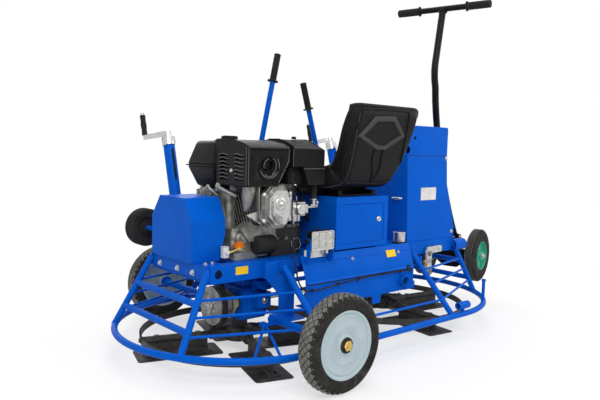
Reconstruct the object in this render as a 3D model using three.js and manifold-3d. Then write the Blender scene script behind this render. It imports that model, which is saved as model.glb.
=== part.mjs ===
// Ride-on power trowel with two rotors, as a tree of named solids. Millimetres, +Z up.
// The origin is on the floor midway between the rotors; +X is the operator's right, +Y is forward.
import * as THREE from "three";
import { mergeVertices } from "three/addons/utils/BufferGeometryUtils.js";
import Module from "manifold-3d";

const wasm = await Module();
wasm.setup();

// Clearances and counts shared by every piece
const seat = 0.3; // gap between pieces that touch
const running = 0.06; // radial clearance of a shaft in its bore
const overrun = 7; // cuts pass a face by this
const mergeWithin = 1e-3;
const tubeSides = 8;
const rodSides = 5;
const nutSides = 6;
const shaftSides = 12;
const tyreSides = 24;
const wheelSides = 18;
const fineSides = 16;
const driveSides = 18;

// Deck, the folded channel that carries everything
const deck = { halfLength: 739, halfWidth: 211, top: 400, depth: 65, wall: 6 };
const beltSlot = { from: -657, to: -585, back: -160, front: 112 };
const beamHole = { x: -700, z: 369, radius: 18 };
const forkTube = { y: 215, z: 362, radius: 29, wall: 4, from: 680, mouth: 790, to: 836 };
const leverEar = { width: 8, spread: 21, depth: 34, drop: 45, rise: 16 };
const rollerArm = { width: 36, wall: 8, drop: 50 };

// Rear panel, a folded sheet with a seam above its lower beam
const panel = { from: -346, to: 325, wall: 4, lip: 262, top: 412, seam: 298, bottom: 204 };
const panelBelly = { y: 297, z: 326 };
const panelBeam = { y: 300, back: 238, flange: 380 };
const cableClip = { width: 14, depth: 12, height: 8 };
const clipStations = [9, 11]; // places of the clips in the cable's route

// Guard ring, a stadium of tube round both rotors
const ring = { centre: 455, radius: 505, height: 107, tube: 13 };
const ringSides = 30;
const hitchSocket = { x: 400, length: 78, radius: 17, bore: 12, y: 500, z: 146, stem: 9 };
const ringPost = { x: 707, y: 434, radius: 8, top: 217 };

// End frames and the rods along both sides
const endBar = { inner: 739, wall: 9, low: 350, high: 400, halfWidth: 214 };
const upright = { radius: 13, topX: 747, topY: 207, topZ: 390, footX: 890, footY: 262 };
const rungHeights = [276, 184];
const sideRod = { radius: 5.5, heights: [288, 232, 170] };
const sidePostRight = { topX: 362, topY: 262, topZ: 357, footX: 365, footY: 498 };
const sidePostLeft = { topX: 418, topY: 246, topZ: 376, footX: 397, footY: 497 };
const postPad = { width: 22, height: 34, shift: 7 };

// Large wheels and the legs that carry them
const largeWheel = { x: -475, y: 626, radius: 175, width: 74, rim: 121, dish: 8 };
const legPlate = { from: -500, to: -335, web: 236, wall: 6, neck: 165, shoulder: 335 };
const legStem = { from: -430, to: -352 };
const axle = { radius: 15, height: 175, root: 240, nut: 17, nutDepth: 12, hub: 26 };
const legShelf = { x: -450, width: 110, out: 303, wall: 6 };
const legShelfShares = [
  [0, 0],
  [1, 0],
  [0.89, 1],
  [-0.96, 1],
];
const braceRod = { radius: 5.5, apexX: -548, apexY: 296, apexZ: 182 };
const braceFeet = [
  [-700, 435],
  [-612, 478],
];

// Drive: clutch pulley on the engine, belt, cross shaft and two gearboxes
const crankAxis = { y: 37, z: 537 };
const crossAxis = { y: -60, z: 212 };
const beltPlane = { x: -620, halfWidth: 15, thickness: 9 };
const clutch = { outer: -702, drum: 56, drumEnd: -642, pulley: 50, shaft: 12.5, inner: -582 };
const groove = { depth: 11, flange: 4 };
const driven = { radius: 77.5, hub: 34, ribbed: 46, ribEnd: -562, rim: 56, rimEnd: -553 };
const sleeve = { radius: 36, end: -524 };
const crossShaft = { radius: 12.5, end: 519 };
const ribDepth = 4;
const gearbox = { from: 395, to: 515, back: -110, front: 60, low: 140, high: 275 };
const gearboxBoss = { radius: 48, depth: 4 };
const pedestal = { from: 410, to: 500, back: -90, front: 40 };
const rotorShaft = { radius: 20, reach: 24 };

// Rotors: hub, band ring and blades on turning arms
const rotorX = 455;
const rotorTurns = { left: 73, right: 262 };
const armHeight = 66;
const hub = { radius: 62, low: 36, high: 96, neck: 36 };
const socket = { radius: 23, reach: 128 };
const arm = { radius: 14, from: 72, to: 398, pin: 8, pinTo: 415 };
const band = { inner: 402, wall: 5, low: 52, high: 80 };
const blade = { from: 86, to: 428, halfWidth: 75, thickness: 3 };
const bladeRib = { from: 136, to: 384, halfWidth: 13 };
const bladeCorner = 16;
const armsPerRotor = 4;

// Belt guard, a sheet box with a sloping top and cut corners
const beltGuard = { outer: -760, inner: -603, rear: -115, depth: 305, low: 400, height: 243, wall: 3 };
const beltGuardShares = [
  [0, 0],
  [1, 0],
  [1, 0.656],
  [0.79, 1],
  [0.18, 1],
  [0, 0.656],
];
const guardCorner = { length: 48, depth: 52 };

// Seat box with its recessed door
const box = { left: -155, right: 170, rear: -265, front: 95, low: 418, high: 640, wall: 4 };
const boxFoot = { rear: -205, inset: 12 };
const door = { left: -133, right: 143, low: 441, high: 608, wall: 4, recess: 3, around: 0.6 };
const doorLip = { width: 11, wall: 4 };
const lock = { x: 112, z: 537, flange: 13, head: 5, stem: 6, tail: 12, slot: 3 };

// Tower on the right
const tower = { left: 387, width: 379, low: 400, height: 564, rear: -205, front: 190, wall: 4 };
const towerShares = [
  [0, 0],
  [0.992, 0],
  [1, 0.087],
  [0.802, 0.493],
  [0.776, 0.738],
  [0.78, 0.985],
  [0.76, 1],
  [0.04, 1],
  [-0.05, 0.75],
];
const towerTop = tower.low + seat + tower.height;
const towerDrop = { hole: 59.3, slot: 117.3, knob: 76.3 };
const towerHole = { x: 421, z: towerTop - towerDrop.hole, radius: 9 };
const towerSlot = { z: towerTop - towerDrop.slot, radius: 20 };
const knob = { y: -150, z: towerTop - towerDrop.knob, radius: 17, depth: 22, stem: 6, tail: 12 };
const knobFlutes = 8;

// Crank posts, cranks and their grips
const post = { radius: 25, y: 224, topY: 352, top: 878, root: 352 };
const postX = { left: -600, right: 392 };
const postTurn = { left: 130, right: 130 };
const postCollar = { radius: 29, below: 38 };
const crank = { hub: 15, rise: 26, arm: 105, width: 20, thickness: 8, stem: 11, depth: 30 };
const crankPin = { radius: 6, length: 102, head: 9, headDepth: 5 };
const crankGrip = { radius: 13, waist: 11, length: 92 };

// Steering levers
const lever = { radius: 12.5, y: 232, pivot: 448, grip: 16, gripLength: 130, flange: 26, flangeWall: 5 };
const leverPlaces = {
  left: { low: -264, high: -86, top: 1286 },
  right: { low: 305, high: 77, top: 1165 },
};
const leverPin = { radius: 7, boss: 17 };

// Seat
const seatPlace = { x: 12, halfWidth: 205, rear: -412, depth: 577, low: 672, height: 354, wall: 14 };
const seatShares = [
  [0.194, 0.023],
  [0.367, 0],
  [0.922, 0.051],
  [1, 0.121],
  [0.974, 0.206],
  [0.887, 0.249],
  [0.324, 0.299],
  [0.258, 0.379],
  [0.215, 0.508],
  [0.147, 0.808],
  [0.116, 0.969],
  [0.069, 1],
  [0.021, 0.969],
  [0, 0.814],
  [0.047, 0.579],
  [0.116, 0.249],
];
const seatHollowShares = [
  [0.024, 0.814],
  [0.071, 0.579],
  [0.14, 0.249],
  [0.211, 0.079],
  [0.367, 0.045],
  [0.887, 0.079],
  [0.974, 0.141],
  [1.1, 0.2],
  [1.1, 1.1],
  [0.12, 1.1],
  [0.045, 0.955],
];
const seatWaistShares = { high: 0.3785, reach: 0.298 };
const seatWaist = {
  half: 135,
  low: seatPlace.low,
  high: seatPlace.low + seatWaistShares.high * seatPlace.height,
  reach: seatPlace.rear + seatWaistShares.reach * seatPlace.depth,
};
const cushion = { back: 28, base: 38, sideShare: 0.55, endShare: 0.55, slopeShare: 2.2, inset: 3, under: 0.5, across: 8 };
const cushionStationShares = [
  [0.044, 0.94],
  [0.024, 0.814],
  [0.071, 0.579],
  [0.14, 0.249],
  [0.211, 0.079],
  [0.367, 0.045],
  [0.62, 0.062],
  [0.887, 0.079],
  [0.96, 0.132],
];
const rail = { x: 105, halfWidth: 13, from: -222, to: 82, height: 25, carriage: 11, travel: 50 };

// Engine
const engine = { base: 404, foot: 20, left: -585, right: -250, back: -62, front: 160, top: 668 };
const sump = { back: -128, top: 520 };
const cylinder = { left: -560, right: -392, low: 530, high: 688, back: -214 };
const fin = { count: 4, wall: 4, reach: 14 };
const valveCover = { left: -545, right: -405, low: 545, high: 675, back: -262, corner: 14 };
const fan = { radius: 132, from: -290, to: -218, cover: 98, end: -197 };
const outputBoss = { radius: 46, end: -598 };
const carburettor = { left: -352, right: -262, low: 540, high: 646, back: -220 };
const muffler = { left: -600, right: -395, back: -240, front: -34, low: 692, high: 830, wall: 3 };
const mufflerSlot = { columns: 2, rows: 7, length: 62, height: 8, pitch: 15, side: 26 };
const mufflerRecess = { radius: 44, depth: 8 };
const tank = { left: -600, right: -242, back: -28, front: 205, low: 672, high: 865, corner: 26 };
const tankFlange = { z: 760, reach: 6, wall: 5 };
const fuelCap = { x: -455, y: 88, radius: 36, height: 22, neck: 26, neckHeight: 10 };
const cleaner = { left: -378, right: -212, back: -236, front: -52, low: 692, high: 880, corner: 22 };
const oilCap = { x: -562, z: 457, radius: 15, depth: 20, stem: 9, tail: 14 };
const oilCapRidges = 6;
const recoil = { x: -178, y: -108, z: 560, grip: 8, length: 62, cord: 3, travel: 220 };

// Lamp, cable and front roller
const lamp = { x: -270, y: -296, z: 475, halfWidth: 61, halfHeight: 39, depth: 30, corner: 8 };
const lampEar = { wall: 4, halfDepth: 11, pin: 5, foot: 14 };
const cable = { radius: 3 };
const cableRoute = [
  [-388, -252, 742],
  [-392, -258, 690],
  [-396, -264, 541],
  [-404, -290, 420],
  [-412, -316, 362],
  [-404, -326, 318],
  [-374, -319, 290],
  [-322, -313, 280],
  [-180, -313, 288],
  [-52, -313, 296],
  [100, -313, 298],
  [224, -313, 297],
  [300, -310, 292],
];
const roller = { x: -700, y: 370, z: 484, radius: 82, width: 58, axle: 10, hub: 24, rim: 46 };

// Dolly at the right end, turned a little on its king pin
const dollyTurn = 14; // degrees
const kingPin = { x: 1042, radius: 14, sleeve: 25, low: 300, high: 352, head: 19, headHeight: 7 };
const dollyArm = { halfWidth: 24, low: 306, high: 346, plate: 70, plateWall: 8 };
const smallWheel = { track: 155, radius: 147, width: 58, rim: 77, hub: 24, height: 266, axle: 10 };
const axleBeam = { halfWidth: 17, half: 120, high: 290, middle: 184, tip: 246, wall: 30 };
const handlePivot = { out: 56, z: 352, pin: 8, ear: 8, spread: 21, boss: 22 };
const towPole = { radius: 18, bendZ: 1245, bend: -406, topZ: 1593, top: -318 };
const towBar = { half: 255, radius: 15, grip: 20, gripLength: 122, flange: 26, flangeWall: 5 };

const paint = {
  blue: { color: 0x0b4fb8, roughness: 0.35, metalness: 0.15 },
  black: { color: 0x17181a, roughness: 0.5, metalness: 0.1 },
  rubber: { color: 0x1c1c1d, roughness: 0.85, metalness: 0 },
  tyre: { color: 0x2b2a28, roughness: 0.9, metalness: 0 },
  pale: { color: 0xc9d6dc, roughness: 0.4, metalness: 0.2 },
  green: { color: 0x2e9c74, roughness: 0.45, metalness: 0.1 },
  steel: { color: 0x9a9c9e, roughness: 0.35, metalness: 0.9 },
  dark: { color: 0x35322f, roughness: 0.6, metalness: 0.6 },
  cast: { color: 0x8d9093, roughness: 0.55, metalness: 0.7 },
  orange: { color: 0xe06a12, roughness: 0.5, metalness: 0 },
};

const group = new THREE.Group();

// Solids from three.js geometry
function solidOf(geometry) {
  const bare = geometry.clone();
  bare.deleteAttribute("normal");
  bare.deleteAttribute("uv");
  const merged = mergeVertices(bare, mergeWithin);
  const vertProperties = merged.attributes.position.array;
  const triVerts = new Uint32Array(merged.index.array);
  return new wasm.Manifold(new wasm.Mesh({ numProp: 3, vertProperties, triVerts }));
}

function join(...solids) {
  return solids.flat(Infinity).reduce((sum, next) => sum.add(next));
}

function cut(solid, ...tools) {
  return tools.flat(Infinity).reduce((left, tool) => left.subtract(tool), solid);
}

function block(x0, x1, y0, y1, z0, z1) {
  const geometry = new THREE.BoxGeometry(x1 - x0, y1 - y0, z1 - z0);
  geometry.translate((x0 + x1) / 2, (y0 + y1) / 2, (z0 + z1) / 2);
  return solidOf(geometry);
}

// A placing matrix whose local Y runs along a direction
function placing(from, direction) {
  const turn = new THREE.Quaternion();
  turn.setFromUnitVectors(new THREE.Vector3(0, 1, 0), direction.clone().normalize());
  return new THREE.Matrix4().compose(from, turn, new THREE.Vector3(1, 1, 1));
}

function bar(a, b, radius, sides = tubeSides) {
  const from = new THREE.Vector3(...a);
  const span = new THREE.Vector3(...b).sub(from);
  const length = span.length();
  const geometry = new THREE.CylinderGeometry(radius, radius, length, sides);
  geometry.translate(0, length / 2, 0);
  geometry.applyMatrix4(placing(from, span));
  return solidOf(geometry);
}

// A bore whose flats clear a shaft of the same sides at any angle
function boreRadius(radius, sides = shaftSides) {
  return (radius + running) / Math.cos(Math.PI / sides);
}

// A revolved outline of [radius, height] points round an axis through a point
function turned(points, origin, direction, sides = fineSides) {
  const first = points[0];
  const last = points[points.length - 1];
  const onAxis = first[0] === 0 && last[0] === 0;
  const outline = onAxis ? [...points] : [...points, first];
  let area = 0;
  outline.forEach((p, i) => {
    const q = outline[(i + 1) % outline.length];
    area += p[0] * q[1] - q[0] * p[1];
  });
  if (area < 0) outline.reverse();
  const profile = outline.map(([r, h]) => new THREE.Vector2(r, h));
  const geometry = new THREE.LatheGeometry(profile, sides);
  geometry.applyMatrix4(placing(new THREE.Vector3(...origin), new THREE.Vector3(...direction)));
  return solidOf(geometry);
}

// A prism of an outline given in two axes, drawn out along the third
const bases = {
  xy: new THREE.Matrix4(),
  yz: new THREE.Matrix4().set(0, 0, 1, 0, 1, 0, 0, 0, 0, 1, 0, 0, 0, 0, 0, 1),
  zx: new THREE.Matrix4().set(0, 1, 0, 0, 0, 0, 1, 0, 1, 0, 0, 0, 0, 0, 0, 1),
};

function prism(plane, points, from, to) {
  const shape = new THREE.Shape(points.map(([a, b]) => new THREE.Vector2(a, b)));
  const geometry = new THREE.ExtrudeGeometry(shape, { depth: to - from, bevelEnabled: false });
  geometry.translate(0, 0, from);
  geometry.applyMatrix4(bases[plane]);
  return solidOf(geometry);
}

// Points of an outline given as shares of a width and a height
function shared(shares, a0, width, b0, height) {
  return shares.map(([a, b]) => [a0 + a * width, b0 + b * height]);
}

// The outline moved inwards by a wall
function inset(points, wall) {
  const count = points.length;
  let area = 0;
  points.forEach(([x, y], i) => {
    const [u, v] = points[(i + 1) % count];
    area += x * v - u * y;
  });
  const sign = area > 0 ? 1 : -1;
  const edges = points.map(([x, y], i) => {
    const [u, v] = points[(i + 1) % count];
    const length = Math.hypot(u - x, v - y);
    const nx = (-(v - y) / length) * sign;
    const ny = ((u - x) / length) * sign;
    return { x: x + nx * wall, y: y + ny * wall, dx: u - x, dy: v - y };
  });
  return edges.map((b, i) => {
    const a = edges[(i + count - 1) % count];
    const t = ((b.x - a.x) * b.dy - (b.y - a.y) * b.dx) / (a.dx * b.dy - a.dy * b.dx);
    return [a.x + a.dx * t, a.y + a.dy * t];
  });
}

// A rectangle with cut corners
function cornered(x0, x1, y0, y1, corner) {
  return [
    [x0 + corner, y0],
    [x1 - corner, y0],
    [x1, y0 + corner],
    [x1, y1 - corner],
    [x1 - corner, y1],
    [x0 + corner, y1],
    [x0, y1 - corner],
    [x0, y0 + corner],
  ];
}

// A closed skin over rings of equal counts of points, with flat ends
function loft(rings) {
  const count = rings[0].length;
  const points = rings.flat();
  const index = [];
  for (let i = 0; i + 1 < rings.length; i++) {
    for (let j = 0; j < count; j++) {
      const a = i * count + j;
      const b = i * count + ((j + 1) % count);
      index.push(a, b, b + count, a, b + count, a + count);
    }
  }
  [rings[0], rings[rings.length - 1]].forEach((ringPoints, end) => {
    const middle = points.length;
    const sum = [0, 1, 2].map((k) => ringPoints.reduce((total, p) => total + p[k], 0) / count);
    points.push(sum);
    const start = end ? (rings.length - 1) * count : 0;
    for (let j = 0; j < count; j++) {
      const a = start + j;
      const b = start + ((j + 1) % count);
      index.push(...(end ? [a, b, middle] : [b, a, middle]));
    }
  });
  const geometry = new THREE.BufferGeometry();
  geometry.setAttribute("position", new THREE.BufferAttribute(new Float32Array(points.flat()), 3));
  geometry.setIndex(index);
  return solidOf(geometry);
}

function flipped(solid) {
  return solid.mirror([0, 1, 0]);
}

function add(name, solid, material) {
  const made = solid.getMesh();
  const geometry = new THREE.BufferGeometry();
  geometry.setAttribute("position", new THREE.BufferAttribute(made.vertProperties, 3));
  geometry.setIndex(new THREE.BufferAttribute(made.triVerts, 1));
  const mesh = new THREE.Mesh(geometry, new THREE.MeshStandardMaterial(paint[material]));
  mesh.name = name;
  group.add(mesh);
  return mesh;
}

// Deck
function deckSolid() {
  const under = deck.top - deck.depth;
  const inX = deck.halfLength - deck.wall;
  const inY = deck.halfWidth - deck.wall;
  const outer = block(-deck.halfLength, deck.halfLength, -deck.halfWidth, deck.halfWidth, under, deck.top);
  const inner = block(-inX, inX, -inY, inY, under - overrun, deck.top - deck.wall);
  const slot = block(beltSlot.from, beltSlot.to, beltSlot.back, beltSlot.front, under, deck.top + overrun);
  const hole = bar(
    [beamHole.x, -deck.halfWidth - overrun, beamHole.z],
    [beamHole.x, deck.halfWidth + overrun, beamHole.z],
    beamHole.radius,
  );
  const ears = ["left", "right"].map((side) => leverEars(side));
  return join(cut(outer, inner, slot, hole), ears, rollerBracket());
}

function leverEars(side) {
  const x = leverPlaces[side].low;
  const inner = leverEar.spread;
  const outer = leverEar.spread + leverEar.width;
  const rear = deck.halfWidth - deck.wall;
  const front = lever.y + leverEar.depth / 2;
  const low = deck.top - leverEar.drop;
  const high = lever.pivot + leverEar.rise;
  const both = [-1, 1].map((s) =>
    block(x + (s * (inner + outer) - leverEar.width) / 2, x + (s * (inner + outer) + leverEar.width) / 2,
      rear, front, low, high),
  );
  const foot = block(x - outer, x + outer, rear, deck.halfWidth + deck.wall, low, deck.top);
  const hole = bar([x - outer - overrun, lever.y, lever.pivot], [x + outer + overrun, lever.y, lever.pivot],
    boreRadius(leverPin.radius), shaftSides);
  return cut(join(both, foot), hole);
}

function rollerBracket() {
  const half = rollerArm.width / 2;
  const rear = deck.halfWidth - deck.wall;
  const front = deck.halfWidth + rollerArm.wall;
  const plate = block(roller.x - half, roller.x + half, rear, front, deck.top - rollerArm.drop, roller.z + half);
  const pin = bar([roller.x, rear, roller.z], [roller.x, roller.y + roller.width / 2 + rollerArm.wall, roller.z],
    roller.axle, shaftSides);
  const head = roller.y + roller.width / 2 + seat;
  const washer = bar([roller.x, head, roller.z], [roller.x, head + rollerArm.wall, roller.z], roller.hub - deck.wall,
    shaftSides);
  return join(plate, pin, washer);
}

// Rear panel
function panelSolid() {
  const outer = [
    [-panel.lip, panel.top],
    [-panelBelly.y, panelBelly.z],
    [-panelBeam.y, panel.seam],
    [-panelBeam.y, panel.bottom],
    [-panelBeam.back, panel.bottom],
    [-panelBeam.back, panel.bottom + panel.wall],
    [-panelBeam.y + panel.wall, panel.bottom + panel.wall],
    [-panelBeam.y + panel.wall, panel.seam],
    [-panelBelly.y + panel.wall, panelBelly.z],
    [-panel.lip - panel.wall, panelBeam.flange + panel.wall],
    [-deck.halfWidth - seat, panelBeam.flange + panel.wall],
    [-deck.halfWidth - seat, panelBeam.flange],
    [-panel.lip - panel.wall, panelBeam.flange],
    [-panelBelly.y + panel.wall, panelBelly.z],
  ];
  const skin = outer.slice(0, 9);
  skin.push([-panel.lip + panel.wall, panel.top]);
  const flange = block(legPlate.to + seat, panel.to, -panelBelly.y + (panelBelly.y - panel.lip) / 2 + panel.wall,
    -deck.halfWidth - seat, panelBeam.flange, panelBeam.flange + panel.wall);
  const ears = [-1, 1].map((side) => lampEarSolid(side));
  const clips = clipStations.map((station) => clipSolid(cableRoute[station]));
  return join(prism("yz", skin, panel.from, panel.to), flange, ears, clips);
}

function lampEarSolid(side) {
  const inner = lamp.x + side * (lamp.halfWidth + seat * 3);
  const outer = inner + side * lampEar.wall;
  const x0 = Math.min(inner, outer);
  const x1 = Math.max(inner, outer);
  const upper = lamp.z + lampEar.halfDepth;
  const ear = block(x0, x1, lamp.y - lampEar.halfDepth, lamp.y + lampEar.halfDepth, panel.top - lampEar.foot, upper);
  const foot = block(x0, x1, lamp.y, -panel.lip + panel.wall, panel.top - lampEar.foot - lampEar.foot, panel.top);
  const hole = bar([x0 - overrun, lamp.y, lamp.z], [x1 + overrun, lamp.y, lamp.z], boreRadius(lampEar.pin), shaftSides);
  return cut(join(ear, foot), hole);
}

// A clip that stands off the panel just below the cable
function clipSolid(point) {
  const x = point[0];
  const under = point[2] - cable.radius - seat * 3;
  return block(x - cableClip.width / 2, x + cableClip.width / 2, point[1] - cable.radius,
    -panelBeam.y + panel.wall, under - cableClip.height, under);
}

// Guard ring
function ringSolid(tube) {
  const circle = [];
  for (let i = 0; i < tubeSides; i++) {
    const angle = (i / tubeSides) * 2 * Math.PI;
    circle.push([ring.radius + tube * Math.cos(angle), tube * Math.sin(angle)]);
  }
  const ends = [-1, 1].map((side) => {
    const whole = turned(circle, [side * ring.centre, 0, ring.height], [0, 0, 1], ringSides);
    const far = ring.centre + ring.radius * 2;
    const keep = block(Math.min(side * ring.centre, side * far), Math.max(side * ring.centre, side * far),
      -ring.radius * 2, ring.radius * 2, 0, ring.height * 2);
    return whole.intersect(keep);
  });
  const straights = [-1, 1].map((side) =>
    turned(circle.map(([r, h]) => [r - ring.radius, h]).length ? diskOf(tube) : [],
      [-ring.centre - seat, side * ring.radius, ring.height], [1, 0, 0], tubeSides),
  );
  return join(ends, straights);
}

function diskOf(tube) {
  return [
    [0, 0],
    [tube, 0],
    [tube, (ring.centre + seat) * 2],
    [0, (ring.centre + seat) * 2],
  ];
}

function guardRingSolid() {
  const from = [hitchSocket.x, -hitchSocket.y, hitchSocket.z];
  const to = [hitchSocket.x + hitchSocket.length, -hitchSocket.y, hitchSocket.z];
  const pipe = bar(from, to, hitchSocket.radius);
  const bore = bar([from[0] + ring.tube, from[1], from[2]], [to[0] + overrun, to[1], to[2]], hitchSocket.bore);
  const middle = hitchSocket.x + hitchSocket.length / 2;
  const stem = bar([middle, -hitchSocket.y, ring.height], [middle, -hitchSocket.y, hitchSocket.z - hitchSocket.bore],
    hitchSocket.stem);
  const post = bar([ringPost.x, -ringPost.y, ring.height], [ringPost.x, -ringPost.y, ringPost.top], ringPost.radius);
  return cut(join(ringSolid(ring.tube), pipe, stem, post), bore);
}

// Guards at the ends
function alongUpright(z) {
  const share = (upright.topZ - z) / (upright.topZ - ring.height);
  return [
    upright.topX + (upright.footX - upright.topX) * share,
    upright.topY + (upright.footY - upright.topY) * share,
    z,
  ];
}

function alongPost(sidePost, z) {
  const share = (sidePost.topZ - z) / (sidePost.topZ - ring.height);
  return [
    sidePost.topX + (sidePost.footX - sidePost.topX) * share,
    sidePost.topY + (sidePost.footY - sidePost.topY) * share,
    z,
  ];
}

function guardSolid(side, sidePost) {
  const at = ([x, y, z], s) => [side * x, s * y, z];
  const barFrom = side > 0 ? endBar.inner + seat : -endBar.inner - endBar.wall;
  const pieces = [
    block(barFrom, barFrom + endBar.wall - seat, -endBar.halfWidth, endBar.halfWidth, endBar.low, endBar.high),
  ];
  rungHeights.forEach((z) => {
    const end = alongUpright(z);
    pieces.push(bar(at(end, -1), at(end, 1), upright.radius));
  });
  [-1, 1].forEach((s) => {
    pieces.push(bar(at(alongUpright(upright.topZ), s), at(alongUpright(ring.height), s), upright.radius));
    pieces.push(bar(at(alongPost(sidePost, sidePost.topZ), s), at(alongPost(sidePost, ring.height), s),
      upright.radius));
    pieces.push(padSolid(side, sidePost, s));
    sideRod.heights.forEach((z) => {
      pieces.push(bar(at(alongUpright(z), s), at(alongPost(sidePost, z), s), sideRod.radius, rodSides));
    });
  });
  const core = deckRoom();
  return cut(join(pieces), core);
}

// The room that the deck and the legs take, with a seat's gap
function deckRoom() {
  const low = deck.top - deck.depth;
  const long = deck.halfLength + seat;
  const wide = deck.halfWidth + seat;
  const body = block(-long, long, -wide, wide, low - seat, deck.top + seat);
  const legs = [-1, 1].map((s) =>
    block(legPlate.from - seat, legPlate.to + seat, Math.min(s * deck.halfWidth, s * (legPlate.web + seat)),
      Math.max(s * deck.halfWidth, s * (legPlate.web + seat)), low - seat, deck.top + seat),
  );
  return join(body, legs);
}

// The open stub tubes beside the deck's right end
function forkTubes() {
  const at = (x, s) => [x, s * forkTube.y, forkTube.z];
  const shells = [-1, 1].map((s) => bar(at(forkTube.from, s), at(forkTube.to, s), forkTube.radius, shaftSides));
  const bores = [-1, 1].map((s) =>
    bar(at(forkTube.mouth, s), at(forkTube.to + overrun, s), forkTube.radius - forkTube.wall, shaftSides),
  );
  return { shells, bores };
}

// The pad at the top of a side post, against the deck's flange
function padSolid(side, sidePost, s) {
  const x = side * sidePost.topX - postPad.shift;
  const near = deck.halfWidth + seat;
  const far = sidePost.topY;
  const y0 = s > 0 ? near : -far;
  const y1 = s > 0 ? far : -near;
  return block(x - postPad.width / 2, x + postPad.width / 2, y0, y1,
    sidePost.topZ - postPad.height / 2, sidePost.topZ + postPad.height / 2);
}

// The straight lower rod between the side posts
function middleRod() {
  const z = sideRod.heights[2];
  const left = alongPost(sidePostLeft, z);
  const right = alongPost(sidePostRight, z);
  return [-1, 1].map((s) =>
    bar([-left[0] + upright.radius + sideRod.radius, s * left[1], z], [right[0], s * right[1], z], sideRod.radius,
      rodSides),
  );
}

// Leg of a large wheel, near side
function legSolid() {
  const web = [
    [legPlate.from, deck.top],
    [legPlate.to, deck.top],
    [legPlate.to, legPlate.shoulder],
    [legStem.to, legPlate.shoulder - (legStem.to - legPlate.to)],
    [legStem.to, legPlate.neck],
    [legStem.from, legPlate.neck],
    [legStem.from, legPlate.shoulder - (legStem.from - legPlate.from)],
    [legPlate.from, legPlate.shoulder],
  ].map(([x, z]) => [z, x]);
  const sheet = prism("zx", web, -legPlate.web, -legPlate.web + legPlate.wall);
  const flanges = [legPlate.from, legPlate.to - legPlate.wall].map((x) =>
    block(x, x + legPlate.wall, -legPlate.web, -deck.halfWidth - seat, legPlate.shoulder, deck.top),
  );
  const shelfRoot = -legPlate.web + legPlate.wall;
  const shelfOutline = shared(legShelfShares, legShelf.x, legShelf.width, shelfRoot, -legShelf.out - shelfRoot);
  const shelf = prism("xy", shelfOutline, axle.height - legShelf.wall, axle.height);
  const beam = bar([largeWheel.x, -axle.root, axle.height], [largeWheel.x, -axleEnd(), axle.height],
    axle.radius, shaftSides);
  const tie = block(largeWheel.x, legStem.from + legPlate.wall, -axle.root - axle.radius, -legPlate.web + legPlate.wall,
    legPlate.neck, axle.height + axle.radius);
  const collarEnd = largeWheel.y - largeWheel.width / 2 - seat;
  const collar = bar([largeWheel.x, -collarEnd + axle.nutDepth, axle.height], [largeWheel.x, -collarEnd, axle.height],
    axle.hub, fineSides);
  const nut = bar([largeWheel.x, -axleEnd() + axle.nutDepth, axle.height], [largeWheel.x, -axleEnd(), axle.height],
    axle.nut, nutSides);
  const feet = braceFeet.map(([x, y]) =>
    bar([braceRod.apexX, -braceRod.apexY, braceRod.apexZ], [x, -y, ring.height], braceRod.radius, rodSides),
  );
  const lug = block(braceRod.apexX - braceRod.radius * 2, braceRod.apexX + braceRod.radius * 2,
    -braceRod.apexY - braceRod.radius, -braceRod.apexY + braceRod.radius * 4,
    axle.height - legShelf.wall, braceRod.apexZ);
  const leg = join(sheet, flanges, shelf, beam, tie, collar, nut, feet, lug);
  return cut(leg, ringSolid(ring.tube + seat));
}

function axleEnd() {
  return largeWheel.y + largeWheel.width / 2 - largeWheel.dish + axle.nutDepth + seat;
}

// Tyre of a large wheel, with a stepped side wall and a crowned tread
function tyreSolid(side) {
  const half = largeWheel.width / 2;
  const r = largeWheel.radius;
  const inner = largeWheel.rim + seat;
  const step = (r - inner) / 6;
  const outline = [
    [inner, -half + step],
    [inner + step * 2, -half],
    [r - step * 2, -half],
    [r - step / 5, -half + step],
    [r, 0],
    [r - step / 5, half - step],
    [r - step * 2, half],
    [inner + step * 2, half],
    [inner, half - step],
  ];
  return turned(outline, [largeWheel.x, side * largeWheel.y, axle.height], [0, side, 0], tyreSides);
}

// Pressed disc with its rim and hub
function discSolid(side) {
  const half = largeWheel.width / 2;
  const out = half - largeWheel.dish;
  const wall = largeWheel.dish / 2;
  const bore = boreRadius(axle.radius);
  const r = largeWheel.rim;
  const outline = [
    [bore, -half],
    [axle.hub, -half],
    [axle.hub, out - wall * 4],
    [r - wall * 2, out - wall * 2],
    [r - wall * 2, -out],
    [r, -out],
    [r, out + wall],
    [r - wall, out + wall],
    [axle.hub + wall * 2, out - wall],
    [axle.hub, out],
    [bore, out],
  ];
  return turned(outline, [largeWheel.x, side * largeWheel.y, axle.height], [0, side, 0], tyreSides);
}

// Drive
function grooved(radius, from, to, shaftRadius) {
  const bottom = radius - groove.depth;
  return [
    [radius, from],
    [radius, from + groove.flange],
    [bottom, from + groove.flange * 2],
    [bottom, to - groove.flange * 2],
    [radius, to - groove.flange],
    [radius, to],
    [shaftRadius, to],
  ];
}

function clutchSolid() {
  const from = clutch.outer;
  const low = beltPlane.x - beltPlane.halfWidth - from;
  const high = beltPlane.x + beltPlane.halfWidth - from;
  const outline = [
    [0, 0],
    [clutch.drum, 0],
    [clutch.drum, clutch.drumEnd - from],
    [clutch.shaft * 2, clutch.drumEnd - from],
    [clutch.shaft * 2, low],
    ...grooved(clutch.pulley, low, high, clutch.shaft),
    [clutch.shaft, clutch.inner - from],
    [0, clutch.inner - from],
  ];
  return turned(outline, [from, crankAxis.y, crankAxis.z], [1, 0, 0], driveSides);
}

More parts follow.
